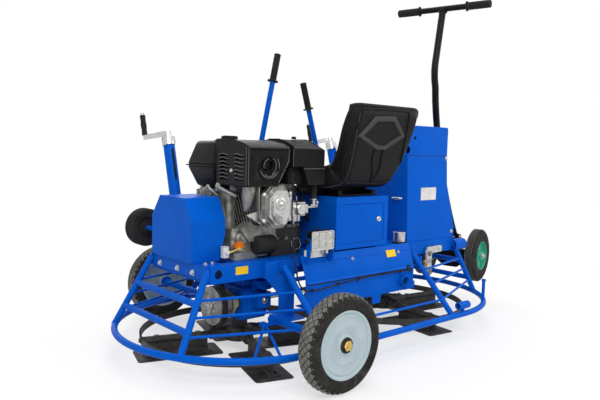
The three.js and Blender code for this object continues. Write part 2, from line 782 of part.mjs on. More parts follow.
function crossShaftSolid() {
  const from = beltPlane.x - beltPlane.halfWidth;
  const wide = beltPlane.halfWidth * 2;
  const outline = [[0, 0], ...grooved(driven.radius, 0, wide, driven.ribbed)];
  outline.push([driven.ribbed, driven.ribEnd - from]);
  outline.push([driven.rim, driven.ribEnd - from]);
  outline.push([driven.rim, driven.rimEnd - from]);
  outline.push([sleeve.radius, driven.rimEnd - from]);
  outline.push([sleeve.radius, sleeve.end - from]);
  outline.push([crossShaft.radius, sleeve.end - from]);
  outline.push([crossShaft.radius, crossShaft.end - from]);
  outline.push([0, crossShaft.end - from]);
  return turned(outline, [from, crossAxis.y, crossAxis.z], [1, 0, 0], driveSides);
}

// The outline round two pulleys, grown by an amount
function beltOutline(grow) {
  const a = new THREE.Vector2(crankAxis.y, crankAxis.z);
  const b = new THREE.Vector2(crossAxis.y, crossAxis.z);
  const ra = clutch.pulley + seat + grow;
  const rb = driven.radius + seat + grow;
  const along = Math.atan2(b.y - a.y, b.x - a.x);
  const lean = Math.acos((ra - rb) / a.distanceTo(b));
  const points = [];
  const arc = (centre, radius, from, to) => {
    const steps = shaftSides;
    for (let i = 0; i <= steps; i++) {
      const angle = from + ((to - from) * i) / steps;
      points.push([centre.x + radius * Math.cos(angle), centre.y + radius * Math.sin(angle)]);
    }
  };
  arc(a, ra, along + lean, along - lean + 2 * Math.PI);
  arc(b, rb, along - lean, along + lean);
  return points;
}

function beltSolid() {
  const from = beltPlane.x - beltPlane.halfWidth + groove.flange + seat;
  const to = beltPlane.x + beltPlane.halfWidth - groove.flange - seat;
  const outer = prism("yz", beltOutline(beltPlane.thickness), from, to);
  const inner = prism("yz", beltOutline(seat * 2), from - overrun, to + overrun);
  return cut(outer, inner);
}

function gearboxSolid(side) {
  const x0 = Math.min(side * gearbox.from, side * gearbox.to);
  const x1 = Math.max(side * gearbox.from, side * gearbox.to);
  const p0 = Math.min(side * pedestal.from, side * pedestal.to);
  const p1 = Math.max(side * pedestal.from, side * pedestal.to);
  const corner = gearboxBoss.depth * 3;
  const body = prism("yz", cornered(gearbox.back, gearbox.front, gearbox.low, gearbox.high, corner), x0, x1);
  const stand = block(p0, p1, pedestal.back, pedestal.front, gearbox.high - corner, deck.top - deck.wall - seat);
  const bosses = [x0, x1].map((x) =>
    bar([x - gearboxBoss.depth, crossAxis.y, crossAxis.z], [x + gearboxBoss.depth, crossAxis.y, crossAxis.z],
      gearboxBoss.radius, fineSides),
  );
  const neck = bar([side * rotorX, 0, gearbox.low - gearboxBoss.depth], [side * rotorX, 0, gearbox.low + corner],
    gearboxBoss.radius, fineSides);
  const through = bar([x0 - corner - overrun, crossAxis.y, crossAxis.z], [x1 + corner + overrun, crossAxis.y, crossAxis.z],
    boreRadius(crossShaft.radius, driveSides), driveSides);
  const down = bar([side * rotorX, 0, gearbox.low - overrun], [side * rotorX, 0, gearbox.low + rotorShaft.reach],
    boreRadius(rotorShaft.radius), shaftSides);
  return cut(join(body, stand, bosses, neck), through, down);
}

// Rotors
function spiderSolid() {
  const shaftTop = gearbox.low + rotorShaft.reach - seat * 2;
  const neckTop = gearbox.low - gearboxBoss.depth - seat;
  const body = turned(
    [
      [0, hub.low],
      [hub.radius, hub.low],
      [hub.radius, hub.high - ribDepth * 2],
      [hub.neck, hub.high],
      [hub.neck, neckTop],
      [rotorShaft.radius, neckTop],
      [rotorShaft.radius, shaftTop],
      [0, shaftTop],
    ],
    [0, 0, 0],
    [0, 0, 1],
    shaftSides,
  );
  const sockets = [];
  const bores = [];
  for (let i = 0; i < armsPerRotor; i++) {
    const angle = (i / armsPerRotor) * 2 * Math.PI;
    const at = (r) => [r * Math.cos(angle), r * Math.sin(angle), armHeight];
    sockets.push(bar(at(hub.neck), at(socket.reach), socket.radius, fineSides / 2));
    bores.push(bar(at(arm.from - seat), at(socket.reach + overrun), boreRadius(arm.radius, tubeSides)));
  }
  return cut(join(body, sockets), bores);
}

function bandSolid() {
  const hoop = turned(
    [
      [band.inner, band.low],
      [band.inner + band.wall, band.low],
      [band.inner + band.wall, band.high],
      [band.inner, band.high],
    ],
    [0, 0, 0],
    [0, 0, 1],
    tyreSides,
  );
  const holes = [];
  for (let i = 0; i < armsPerRotor; i++) {
    const angle = (i / armsPerRotor) * 2 * Math.PI;
    const at = (r) => [r * Math.cos(angle), r * Math.sin(angle), armHeight];
    holes.push(bar(at(band.inner - overrun), at(band.inner + band.wall + overrun), boreRadius(arm.pin, tubeSides)));
  }
  return cut(hoop, holes);
}

// One blade with its rib and its turning arm, along +X
function bladeSolid() {
  const plan = cornered(blade.from, blade.to, -blade.halfWidth, blade.halfWidth, bladeCorner);
  const sheet = prism("xy", plan, 0, blade.thickness);
  const web = block(bladeRib.from, bladeRib.to, -bladeRib.halfWidth, bladeRib.halfWidth, 0, armHeight);
  const shaft = bar([arm.from, 0, armHeight], [arm.to, 0, armHeight], arm.radius);
  const pin = bar([arm.to - overrun, 0, armHeight], [arm.pinTo, 0, armHeight], arm.pin);
  return join(sheet, web, shaft, pin);
}

// Belt guard, open towards the engine and below
function beltGuardSolid() {
  const outline = shared(beltGuardShares, beltGuard.rear, beltGuard.depth, beltGuard.low + seat, beltGuard.height);
  const front = beltGuard.rear + beltGuard.depth;
  const plan = [
    [beltGuard.outer, beltGuard.rear],
    [beltGuard.inner - guardCorner.length, beltGuard.rear],
    [beltGuard.inner, beltGuard.rear + guardCorner.depth],
    [beltGuard.inner, front - guardCorner.depth],
    [beltGuard.inner - guardCorner.length, front],
    [beltGuard.outer, front],
  ];
  const tall = beltGuard.height * 2;
  const outer = prism("yz", outline, beltGuard.outer, beltGuard.inner).intersect(
    prism("xy", plan, beltGuard.low - overrun, beltGuard.low + tall));
  const hollowOutline = inset(outline, beltGuard.wall).map(([y, z], i) => [y, i < 2 ? z - beltGuard.wall * 3 : z]);
  const hollowPlan = inset(plan, beltGuard.wall).map(([x, y], i) =>
    [i === 2 || i === 3 ? x + beltGuard.wall * 3 : x, y]);
  const hollow = prism("yz", hollowOutline, beltGuard.outer + beltGuard.wall, beltGuard.inner + overrun).intersect(
    prism("xy", hollowPlan, beltGuard.low - overrun * 2, beltGuard.low + tall));
  return cut(outer, hollow);
}

// Seat box
function seatBoxSolid() {
  const w = box.wall;
  const outer = block(box.left, box.right, box.rear, box.front, box.low, box.high);
  const foot = block(box.left + boxFoot.inset, box.right - boxFoot.inset, boxFoot.rear, box.front,
    deck.top + seat, box.low + w);
  const lipBack = box.rear + door.recess + door.wall + seat + doorLip.wall;
  const inner = block(box.left + w, box.right - w, lipBack, box.front - w, box.low + w, box.high - w);
  const opening = block(door.left - door.around, door.right + door.around, box.rear - overrun,
    lipBack - doorLip.wall, door.low - door.around, door.high + door.around);
  const through = block(door.left + doorLip.width, door.right - doorLip.width, box.rear, lipBack + overrun,
    door.low + doorLip.width, door.high - doorLip.width);
  return cut(join(outer, foot), inner, opening, through);
}

function doorSolid() {
  const front = box.rear + door.recess;
  const sheet = block(door.left, door.right, front, front + door.wall, door.low, door.high);
  const hole = bar([lock.x, front - overrun, lock.z], [lock.x, front + overrun * 2, lock.z],
    boreRadius(lock.stem), shaftSides);
  return cut(sheet, hole);
}

function lockSolid() {
  const front = box.rear + door.recess;
  const outline = [
    [0, -lock.head - seat],
    [lock.flange - lock.slot, -lock.head - seat],
    [lock.flange, -seat - lock.slot],
    [lock.flange, -seat],
    [lock.stem, -seat],
    [lock.stem, lock.tail],
    [0, lock.tail],
  ];
  const body = turned(outline, [lock.x, front, lock.z], [0, 1, 0], shaftSides);
  const key = block(lock.x - lock.slot / 2, lock.x + lock.slot / 2, front - lock.head - overrun,
    front - lock.head + lock.slot / 2, lock.z - lock.stem, lock.z + lock.stem);
  return cut(body, key);
}

// Tower
function towerOutline() {
  return shared(towerShares, tower.left, tower.width, tower.low + seat, tower.height);
}

function towerSolid() {
  const outline = towerOutline();
  const flip = (points) => points.map(([x, z]) => [z, x]);
  const outer = prism("zx", flip(outline), tower.rear, tower.front);
  const hollowOutline = inset(outline, tower.wall).map(([x, z], i) => [x, i < 2 ? z - tower.wall * 3 : z]);
  const hollow = prism("zx", flip(hollowOutline), tower.rear + tower.wall, tower.front - tower.wall);
  const hole = bar([towerHole.x, tower.rear - overrun, towerHole.z], [towerHole.x, tower.rear + overrun * 2, towerHole.z],
    towerHole.radius);
  const edge = tower.left + towerShares[8][0] * tower.width;
  const slot = bar([edge, tower.rear - overrun, towerSlot.z], [edge, tower.rear + overrun * 2, towerSlot.z],
    towerSlot.radius);
  const side = knobFace();
  const knobHole = bar([side - tower.wall - overrun, knob.y, knob.z], [side + overrun, knob.y, knob.z],
    boreRadius(knob.stem), shaftSides);
  return cut(outer, hollow, hole, slot, knobHole);
}

// Where the tower's right face is at the knob's height
function knobFace() {
  const outline = towerOutline();
  const [x0, z0] = outline[4];
  const [x1, z1] = outline[5];
  return x0 + ((x1 - x0) * (knob.z - z0)) / (z1 - z0);
}

function knobSolid() {
  const from = knobFace();
  const clear = seat * 3;
  const outline = [
    [0, -tower.wall - knob.tail],
    [knob.stem, -tower.wall - knob.tail],
    [knob.stem, clear],
    [knob.radius - ribDepth, clear],
    [knob.radius, clear + ribDepth],
    [knob.radius, knob.depth - ribDepth],
    [knob.radius - ribDepth, knob.depth],
    [0, knob.depth],
  ];
  return turned(outline, [from, knob.y, knob.z], [1, 0, 0], knobFlutes * 2);
}

// Crank posts
function postFrame(side) {
  const foot = new THREE.Vector3(postX[side], post.y, deck.top);
  const top = new THREE.Vector3(postX[side], post.topY, post.top);
  const axis = top.clone().sub(foot).normalize();
  return { foot, top, axis };
}

function postSolid(side) {
  const { foot, top, axis } = postFrame(side);
  const low = foot.clone().addScaledVector(axis, (post.root - deck.top) / axis.z);
  const tube = bar(low.toArray(), top.toArray(), post.radius, shaftSides);
  const collarFrom = top.clone().addScaledVector(axis, -postCollar.below);
  const collar = bar(collarFrom.toArray(), top.toArray(), postCollar.radius, shaftSides);
  const x = postX[side];
  const half = post.radius;
  const plate = block(x - half, x + half, deck.halfWidth + seat, deck.halfWidth + seat + deck.wall,
    deck.top - deck.depth, deck.top - deck.wall);
  const clear = block(x - half * 2, x + half * 2, 0, deck.halfWidth + seat, 0, deck.top + seat);
  const boreFrom = top.clone().addScaledVector(axis, -crank.depth - seat);
  const boreTo = top.clone().addScaledVector(axis, overrun);
  const bore = bar(boreFrom.toArray(), boreTo.toArray(), boreRadius(crank.stem), shaftSides);
  return cut(join(tube, collar, plate), clear, bore);
}

// Directions of a crank's arm and of its pin
function crankFrame(side) {
  const { top, axis } = postFrame(side);
  const base = new THREE.Vector3(1, 0, 0);
  const across = axis.clone().cross(base);
  const angle = THREE.MathUtils.degToRad(postTurn[side]);
  const out = base.multiplyScalar(Math.cos(angle)).addScaledVector(across, Math.sin(angle));
  return { top, axis, out };
}

function crankSolid(side) {
  const { top, axis, out } = crankFrame(side);
  const at = (up, along) => top.clone().addScaledVector(axis, up).addScaledVector(out, along).toArray();
  const stem = bar(at(-crank.depth, 0), at(seat + crank.thickness, 0), crank.stem, shaftSides);
  const boss = bar(at(seat, 0), at(crank.rise, 0), crank.hub);
    const end = bar(at(crank.rise - crank.thickness, crank.arm), at(crank.rise, crank.arm), crank.width / 2);
  const frame = new THREE.Matrix4().makeBasis(out, axis.clone().cross(out), axis);
  frame.setPosition(top.clone().addScaledVector(axis, crank.rise - crank.thickness / 2));
  const strip = new THREE.BoxGeometry(crank.arm, crank.width, crank.thickness);
  strip.translate(crank.arm / 2, 0, 0);
  strip.applyMatrix4(frame);
  const pinTop = crank.rise + crankPin.length;
  const pin = bar(at(crank.rise - crank.thickness / 2, crank.arm), at(pinTop, crank.arm), crankPin.radius, shaftSides);
  const head = bar(at(pinTop - crankPin.headDepth, crank.arm), at(pinTop, crank.arm), crankPin.head, shaftSides);
  return join(stem, boss, end, solidOf(strip), pin, head);
}

function crankGripSolid(side) {
  const { top, axis, out } = crankFrame(side);
  const bore = boreRadius(crankPin.radius);
  const r = crankGrip.radius;
  const w = crankGrip.waist;
  const length = crankGrip.length;
  const outline = [
    [bore, 0],
    [w, 0],
    [r, length * 0.12],
    [w, length * 0.5],
    [r, length * 0.88],
    [w, length],
    [bore, length],
  ];
  const from = top.clone().addScaledVector(axis, crank.rise + seat).addScaledVector(out, crank.arm);
  return turned(outline, from.toArray(), axis.toArray(), shaftSides);
}

// Steering levers
function leverSolid(side) {
  const place = leverPlaces[side];
  const low = new THREE.Vector3(place.low, lever.y, lever.pivot);
  const high = new THREE.Vector3(place.high, lever.y, place.top);
  const axis = high.clone().sub(low).normalize();
  const gripFrom = high.clone().addScaledVector(axis, -lever.gripLength);
  const flangeFrom = gripFrom.clone().addScaledVector(axis, -lever.flangeWall);
  const tube = bar(low.toArray(), gripFrom.toArray(), lever.radius);
  const grip = bar(gripFrom.toArray(), high.toArray(), lever.grip);
  const flange = bar(flangeFrom.toArray(), gripFrom.toArray(), lever.flange, shaftSides);
  const half = leverEar.spread - seat * 2;
  const boss = bar([place.low - half, lever.y, lever.pivot], [place.low + half, lever.y, lever.pivot],
    leverPin.boss, shaftSides);
  const reach = leverEar.spread + leverEar.width + leverEar.width / 2;
  const pin = bar([place.low - reach, lever.y, lever.pivot], [place.low + reach, lever.y, lever.pivot],
    leverPin.radius, shaftSides);
  return join(tube, grip, flange, boss, pin);
}

// Seat
function seatShellSolid() {
  const outline = shared(seatShares, seatPlace.rear, seatPlace.depth, seatPlace.low, seatPlace.height);
  const hollow = shared(seatHollowShares, seatPlace.rear, seatPlace.depth, seatPlace.low, seatPlace.height);
  const left = seatPlace.x - seatPlace.halfWidth;
  const right = seatPlace.x + seatPlace.halfWidth;
  const body = prism("yz", outline, left, right);
  const cavity = prism("yz", hollow, left + seatPlace.wall, right - seatPlace.wall);
  const waist = [-1, 1].map((s) => {
    const edge = seatPlace.x + s * seatPlace.halfWidth;
    const low = seatPlace.x + s * seatWaist.half;
    const past = edge + s * overrun;
    const outlineZx = [
      [seatWaist.low - overrun, low],
      [seatWaist.low - overrun, past],
      [seatWaist.high, past],
      [seatWaist.high, edge],
    ];
    return prism("zx", outlineZx, seatPlace.rear - overrun, seatWaist.reach);
  });
  const carriage = [-1, 1].map((s) => {
    const x = seatPlace.x + s * rail.x;
    const half = rail.halfWidth - seatPlace.wall / 4;
    return block(x - half, x + half, rail.from + rail.travel, rail.to - rail.travel / 2,
      box.high + rail.height + seat * 2, seatPlace.low + rail.carriage);
  });
  return join(cut(body, cavity, waist), carriage);
}

// Cushion with a crown across and drawn-in sides, laid in the shell's hollow
function cushionSolid() {
  const path = shared(cushionStationShares, seatPlace.rear, seatPlace.depth, seatPlace.low, seatPlace.height);
  const wide = seatPlace.halfWidth - seatPlace.wall - cushion.inset;
  const rings = path.map(([y, z], i) => {
    const before = path[Math.max(i - 1, 0)];
    const after = path[Math.min(i + 1, path.length - 1)];
    const length = Math.hypot(after[0] - before[0], after[1] - before[1]);
    const ny = -(after[1] - before[1]) / length;
    const nz = (after[0] - before[0]) / length;
    const share = i / (path.length - 1);
    const end = Math.min(1, cushion.endShare + cushion.slopeShare * Math.min(share, 1 - share));
    const thick = (cushion.back + (cushion.base - cushion.back) * share) * end;
    const narrow = i < 4 ? seatWaistHalf(z) : wide;
    const half = Math.min(wide, narrow);
    const under = [];
    const over = [];
    for (let j = 0; j <= cushion.across; j++) {
      const u = (2 * j) / cushion.across - 1;
      const low = cushion.under;
      const high = low + thick * (1 - cushion.sideShare * u * u * u * u);
      const x = seatPlace.x + half * u;
      under.push([x, y + ny * low, z + nz * low]);
      over.unshift([x, y + ny * high, z + nz * high]);
    }
    return [...under, ...over];
  });
  return loft(rings.reverse());
}

// Half the room inside the shell at a height on its narrowed back
function seatWaistHalf(z) {
  const share = Math.max(0, Math.min(1, (z - seatWaist.low) / (seatWaist.high - seatWaist.low)));
  const half = seatWaist.half + (seatPlace.halfWidth - seatWaist.half) * share;
  return half - seatPlace.wall - cushion.inset;
}

function slideSolid() {
  const rails = [-1, 1].map((s) => {
    const x = seatPlace.x + s * rail.x;
    return block(x - rail.halfWidth, x + rail.halfWidth, rail.from, rail.to, box.high + seat,
      box.high + rail.height);
  });
  const ties = [rail.from, rail.to - rail.halfWidth * 2].map((y) =>
    block(seatPlace.x - rail.x, seatPlace.x + rail.x, y, y + rail.halfWidth * 2, box.high + seat,
      box.high + rail.height / 3),
  );
  return join(rails, ties);
}

// Engine
function engineSolid() {
  const base = block(engine.left + engine.foot, engine.right, engine.back - engine.foot, engine.front,
    deck.top + seat, engine.base + engine.foot);
  const lower = block(engine.left, engine.right, sump.back, engine.front, engine.base, sump.top);
  const upper = block(engine.left + engine.foot, engine.right - engine.foot, engine.back, engine.front, sump.top,
    engine.top);
  const cut45 = engine.foot;
  const barrel = block(cylinder.left + fin.reach, cylinder.right - fin.reach, cylinder.back, engine.back,
    cylinder.low + fin.reach, cylinder.high - fin.reach);
  const fins = [];
  const pitch = (engine.back - cylinder.back - fin.wall) / fin.count;
  for (let i = 1; i <= fin.count; i++) {
    const y = cylinder.back + i * pitch;
    fins.push(block(cylinder.left, cylinder.right, y, y + fin.wall, cylinder.low, cylinder.high));
  }
  const head = prism("zx", cornered(valveCover.low, valveCover.high, valveCover.left, valveCover.right,
    valveCover.corner), valveCover.back, cylinder.back + fin.wall);
  const housing = bar([fan.from, crankAxis.y, crankAxis.z], [fan.to, crankAxis.y, crankAxis.z], fan.radius, fineSides);
  const cover = bar([fan.to - fin.wall, crankAxis.y, crankAxis.z], [fan.end, crankAxis.y, crankAxis.z], fan.cover,
    fineSides);
  const boss = bar([engine.left, crankAxis.y, crankAxis.z], [outputBoss.end, crankAxis.y, crankAxis.z],
    outputBoss.radius, fineSides);
  const carb = block(carburettor.left, carburettor.right, carburettor.back, engine.back, carburettor.low,
    carburettor.high);
  const stand = block(cylinder.left + cut45, cleaner.right - cut45, engine.back - cut45, engine.back + cut45,
    cylinder.high - fin.reach * 2, muffler.low - seat);
  const tankFoot = block(tank.left + tank.corner * 2, engine.right - cut45, engine.front / 2, engine.front,
    engine.top - cut45, tank.low - seat);
  const bore = bar([outputBoss.end - overrun, crankAxis.y, crankAxis.z], [clutch.inner + seat * 2, crankAxis.y,
    crankAxis.z], boreRadius(clutch.shaft, driveSides), driveSides);
  const filler = bar([oilCap.x, sump.back - overrun, oilCap.z], [oilCap.x, sump.back + oilCap.tail + seat * 2,
    oilCap.z], boreRadius(oilCap.stem), shaftSides);
  const cordRim = fan.to + (fan.end - fan.to) / 2;
  const eye = block(cordRim, recoil.x + recoil.grip / 2, recoil.y + recoil.grip + seat, crankAxis.y - fan.cover / 2,
    recoil.z - recoil.grip, recoil.z + recoil.grip);
  return cut(join(base, lower, upper, barrel, fins, head, housing, cover, boss, carb, stand, tankFoot, eye), bore,
    filler);
}

// Muffler guard: a box of thin sheet with rows of slots, open at the front and below
function mufflerSolid() {
  const w = muffler.wall;
  const outer = block(muffler.left, muffler.right, muffler.back, muffler.front, muffler.low, muffler.high);
  const inner = block(muffler.left + w, muffler.right - w, muffler.back + w + mufflerRecess.depth, muffler.front - w,
    muffler.low - overrun, muffler.high - w);
  const slots = [];
  const columnPitch = (muffler.front - muffler.back) / mufflerSlot.columns;
  for (let c = 0; c < mufflerSlot.columns; c++) {
    const y = muffler.back + columnPitch * (c + 0.5);
    for (let r = 0; r < mufflerSlot.rows; r++) {
      const z = muffler.low + mufflerSlot.side + r * mufflerSlot.pitch;
      slots.push(block(muffler.left - overrun, muffler.left + w + overrun, y - mufflerSlot.length / 2,
        y + mufflerSlot.length / 2, z - mufflerSlot.height / 2, z + mufflerSlot.height / 2));
    }
  }
  const dish = bar(
    [(muffler.left + muffler.right) / 2, muffler.back - overrun, (muffler.low + muffler.high) / 2],
    [(muffler.left + muffler.right) / 2, muffler.back + mufflerRecess.depth, (muffler.low + muffler.high) / 2],
    mufflerRecess.radius,
    fineSides,
  );
  return cut(outer, inner, slots, dish);
}

function tankSolid() {
  const body = prism("yz", cornered(tank.back, tank.front, tank.low, tank.high, tank.corner), tank.left, tank.right);
  const corners = cornered(tank.left, tank.right, tank.back - overrun, tank.front + overrun, tank.corner);
  const rounded = body.intersect(prism("xy", corners, tank.low - overrun, tank.high + overrun));
  const reach = tankFlange.reach;
  const flange = prism("xy", cornered(tank.left, tank.right, tank.back, tank.front + reach, tank.corner),
    tankFlange.z, tankFlange.z + tankFlange.wall);
  const neck = bar([fuelCap.x, fuelCap.y, tank.high - overrun], [fuelCap.x, fuelCap.y, tank.high + fuelCap.neckHeight],
    fuelCap.neck - running, shaftSides);
  return join(rounded, flange, neck);
}

function fuelCapSolid() {
  const bore = boreRadius(fuelCap.neck);
  const low = tank.high + seat;
  const roof = tank.high + fuelCap.neckHeight + seat;
  const high = tank.high + fuelCap.height;
  const outline = [
    [0, roof],
    [bore, roof],
    [bore, low],
    [fuelCap.radius, low],
    [fuelCap.radius, high - ribDepth],
    [fuelCap.radius - ribDepth, high],
    [0, high],
  ];
  return turned(outline, [fuelCap.x, fuelCap.y, 0], [0, 0, 1], fineSides);
}

function cleanerSolid() {
  const shell = prism("zx", cornered(cleaner.low, cleaner.high, cleaner.left, cleaner.right, cleaner.corner),
    cleaner.back, cleaner.front);
  const plan = cornered(cleaner.left - overrun, cleaner.right + overrun, cleaner.back, cleaner.front,
    cleaner.corner);
  return shell.intersect(prism("xy", plan, cleaner.low - overrun, cleaner.high + overrun));
}

function oilCapSolid() {
  const outline = [
    [0, -oilCap.depth],
    [oilCap.radius - ribDepth, -oilCap.depth],
    [oilCap.radius, -oilCap.depth + ribDepth],
    [oilCap.radius, -seat],
    [oilCap.stem, -seat],
    [oilCap.stem, oilCap.tail],
    [0, oilCap.tail],
  ];
  return turned(outline, [oilCap.x, sump.back, oilCap.z], [0, 1, 0], oilCapRidges * 2);
}

function recoilSolid() {
  return bar([recoil.x, recoil.y, recoil.z - recoil.length / 2], [recoil.x, recoil.y, recoil.z + recoil.length / 2],
    recoil.grip, fineSides / 2);
}

// Lamp
function lampSolid() {
  const x0 = lamp.x - lamp.halfWidth;
  const x1 = lamp.x + lamp.halfWidth;
  const half = lamp.depth / 2;
  const face = cornered(lamp.z - lamp.halfHeight, lamp.z + lamp.halfHeight, x0, x1, lamp.corner);
  const body = prism("zx", face, lamp.y - half, lamp.y + half);
  const back = block(x0 + lamp.corner * 2, x1 - lamp.corner * 2, lamp.y + half - seat, lamp.y + half + lamp.corner,
    lamp.z - lamp.halfHeight / 2, lamp.z + lamp.halfHeight / 2);
  const reach = lamp.halfWidth + lampEar.wall * 2 + seat * 3;
  const pin = bar([lamp.x - reach, lamp.y, lamp.z], [lamp.x + reach, lamp.y, lamp.z], lampEar.pin, shaftSides);
  return join(body, back, pin);
}

// Cable
function cableSolid() {
  const points = cableRoute.map((p) => new THREE.Vector3(...p));
  const route = new THREE.CatmullRomCurve3(points);
  const section = new THREE.Shape();
  section.absarc(0, 0, cable.radius, 0, 2 * Math.PI);
  const geometry = new THREE.ExtrudeGeometry(section, {
    steps: (cableRoute.length - 1) * 2,
    curveSegments: 3,
    extrudePath: route,
    bevelEnabled: false,
  });
  return solidOf(geometry);
}

// Roller, a small solid tyre with ribs on a hub
function rollerSolid() {
  const half = roller.width / 2;
  const bore = boreRadius(roller.axle);
  const outline = [
    [bore, -half],
    [roller.hub, -half],
    [roller.hub, -half + roller.axle],
    [roller.rim, -half + roller.axle],
    [roller.rim, -half],
    [roller.radius - ribDepth * 2, -half],
    [roller.radius, -half + ribDepth * 2],
    [roller.radius, half - ribDepth * 2],
    [roller.radius - ribDepth * 2, half],
    [roller.rim, half],
    [roller.rim, half - roller.axle],
    [roller.hub, half - roller.axle],
    [roller.hub, half],
    [bore, half],
  ];
  return turned(outline, [roller.x, roller.y, roller.z], [0, 1, 0], fineSides);
}

// Dolly: directions along its wheel axle, towards the near wheel, and outwards
const dollyAngle = THREE.MathUtils.degToRad(dollyTurn);
const nearDirection = new THREE.Vector3(Math.sin(dollyAngle), -Math.cos(dollyAngle), 0);
const outDirection = new THREE.Vector3(Math.cos(dollyAngle), Math.sin(dollyAngle), 0);

function dollyAt(out, near, z) {
  return new THREE.Vector3(kingPin.x, 0, z)
    .addScaledVector(outDirection, out)
    .addScaledVector(nearDirection, near)
    .toArray();
}

function dollyBracketSolid() {
  const from = endBar.inner + endBar.wall + seat;
  const plate = block(from, from + dollyArm.plateWall, -dollyArm.plate, dollyArm.plate, dollyArm.low, endBar.high);
  const beam = block(from, kingPin.x, -dollyArm.halfWidth, dollyArm.halfWidth, dollyArm.low, dollyArm.high);
  const tube = bar([kingPin.x, 0, kingPin.low], [kingPin.x, 0, kingPin.high], kingPin.sleeve, fineSides);
  const bore = bar([kingPin.x, 0, kingPin.low - overrun], [kingPin.x, 0, kingPin.high + overrun],
    boreRadius(kingPin.radius), shaftSides);
  return cut(join(plate, beam, tube), bore);
}

// Prism in the dolly's own turned axes, drawn out along z
function dollyPrism(points, from, to) {
  const shape = new THREE.Shape(points.map(([a, b]) => new THREE.Vector2(a, b)));
  const geometry = new THREE.ExtrudeGeometry(shape, { depth: to - from, bevelEnabled: false });
  geometry.translate(0, 0, from);
  const base = new THREE.Matrix4().makeBasis(outDirection, nearDirection.clone().negate(), new THREE.Vector3(0, 0, 1));
  base.setPosition(kingPin.x, 0, 0);
  geometry.applyMatrix4(base);
  return solidOf(geometry);
}

function dollyAxleSolid() {
  const beamHalf = axleBeam.halfWidth;
  const beam = dollyPrism(
    [
      [-beamHalf, -axleBeam.half],
      [beamHalf, -axleBeam.half],
      [beamHalf, axleBeam.half],
      [-beamHalf, axleBeam.half],
    ],
    axleBeam.tip,
    axleBeam.high,
  );
  const shape = new THREE.Shape();
  shape.moveTo(-axleBeam.half, axleBeam.high);
  shape.lineTo(-axleBeam.half, axleBeam.tip);
  shape.lineTo(-axleBeam.half / 3, axleBeam.middle);
  shape.lineTo(axleBeam.half / 3, axleBeam.middle);
  shape.lineTo(axleBeam.half, axleBeam.tip);
  shape.lineTo(axleBeam.half, axleBeam.high);
  const web = new THREE.ExtrudeGeometry(shape, { depth: axleBeam.wall / 3, bevelEnabled: false });
  web.translate(0, 0, -axleBeam.wall / 6);
  const face = new THREE.Matrix4().makeBasis(nearDirection.clone().negate(), new THREE.Vector3(0, 0, 1), outDirection);
  face.setPosition(kingPin.x, 0, 0);
  web.applyMatrix4(face);
  const end = smallWheel.track + smallWheel.width / 2 + axleBeam.wall / 4;
  const spindle = bar(dollyAt(0, -end, smallWheel.height), dollyAt(0, end, smallWheel.height), smallWheel.axle,
    shaftSides);
  const pin = bar([kingPin.x, 0, axleBeam.high - overrun], [kingPin.x, 0, kingPin.high + seat], kingPin.radius,
    shaftSides);
  const headFrom = kingPin.high + seat;
  const head = bar([kingPin.x, 0, headFrom], [kingPin.x, 0, headFrom + kingPin.headHeight], kingPin.head, shaftSides);
  const thrust = bar([kingPin.x, 0, axleBeam.high - seat], [kingPin.x, 0, kingPin.low - seat], kingPin.sleeve,
    fineSides);
  const ears = [-1, 1].map((s) => {
    const inner = s * handlePivot.spread;
    const outer = s * (handlePivot.spread + handlePivot.ear);
    const low = Math.min(inner, outer);
    const high = Math.max(inner, outer);
    const reach = handlePivot.out + handlePivot.boss;
    return dollyPrism([[0, low], [reach, low], [reach, high], [0, high]], axleBeam.tip, axleBeam.high);
  });
  const lugs = [-1, 1].map((s) => {
    const inner = s * handlePivot.spread;
    const outer = s * (handlePivot.spread + handlePivot.ear);
    const low = Math.min(inner, outer);
    const high = Math.max(inner, outer);
    const from = handlePivot.out - handlePivot.boss / 2;
    const to = handlePivot.out + handlePivot.boss;
    return dollyPrism([[from, low], [to, low], [to, high], [from, high]], axleBeam.tip,
      handlePivot.z + handlePivot.boss / 1.5);
  });
  const reach = handlePivot.spread + handlePivot.ear + overrun;
  const hole = bar(dollyAt(handlePivot.out, -reach, handlePivot.z), dollyAt(handlePivot.out, reach, handlePivot.z),
    boreRadius(handlePivot.pin), shaftSides);
  return cut(join(beam, solidOf(web), spindle, pin, head, thrust, ears, lugs), hole);
}

function smallWheelSolid(near) {
  const half = smallWheel.width / 2;
  const bore = boreRadius(smallWheel.axle);
  const r = smallWheel.radius;
  const dish = half / 2;
  const outline = [
    [bore, -half],
    [smallWheel.hub, -half],
    [smallWheel.hub + ribDepth, -half + dish],
    [smallWheel.rim - ribDepth, -half + dish],
    [smallWheel.rim + ribDepth, -half],
    [r - ribDepth * 6, -half],
    [r, -half + ribDepth * 3],
    [r, half - ribDepth * 3],
    [r - ribDepth * 6, half],
    [smallWheel.rim + ribDepth, half],
    [smallWheel.rim - ribDepth, half - dish],
    [smallWheel.hub + ribDepth, half - dish],
    [smallWheel.hub, half],
    [bore, half],
  ];
  const axis = nearDirection.clone().multiplyScalar(near);
  return turned(outline, dollyAt(0, near * smallWheel.track, smallWheel.height), axis.toArray(), wheelSides);
}

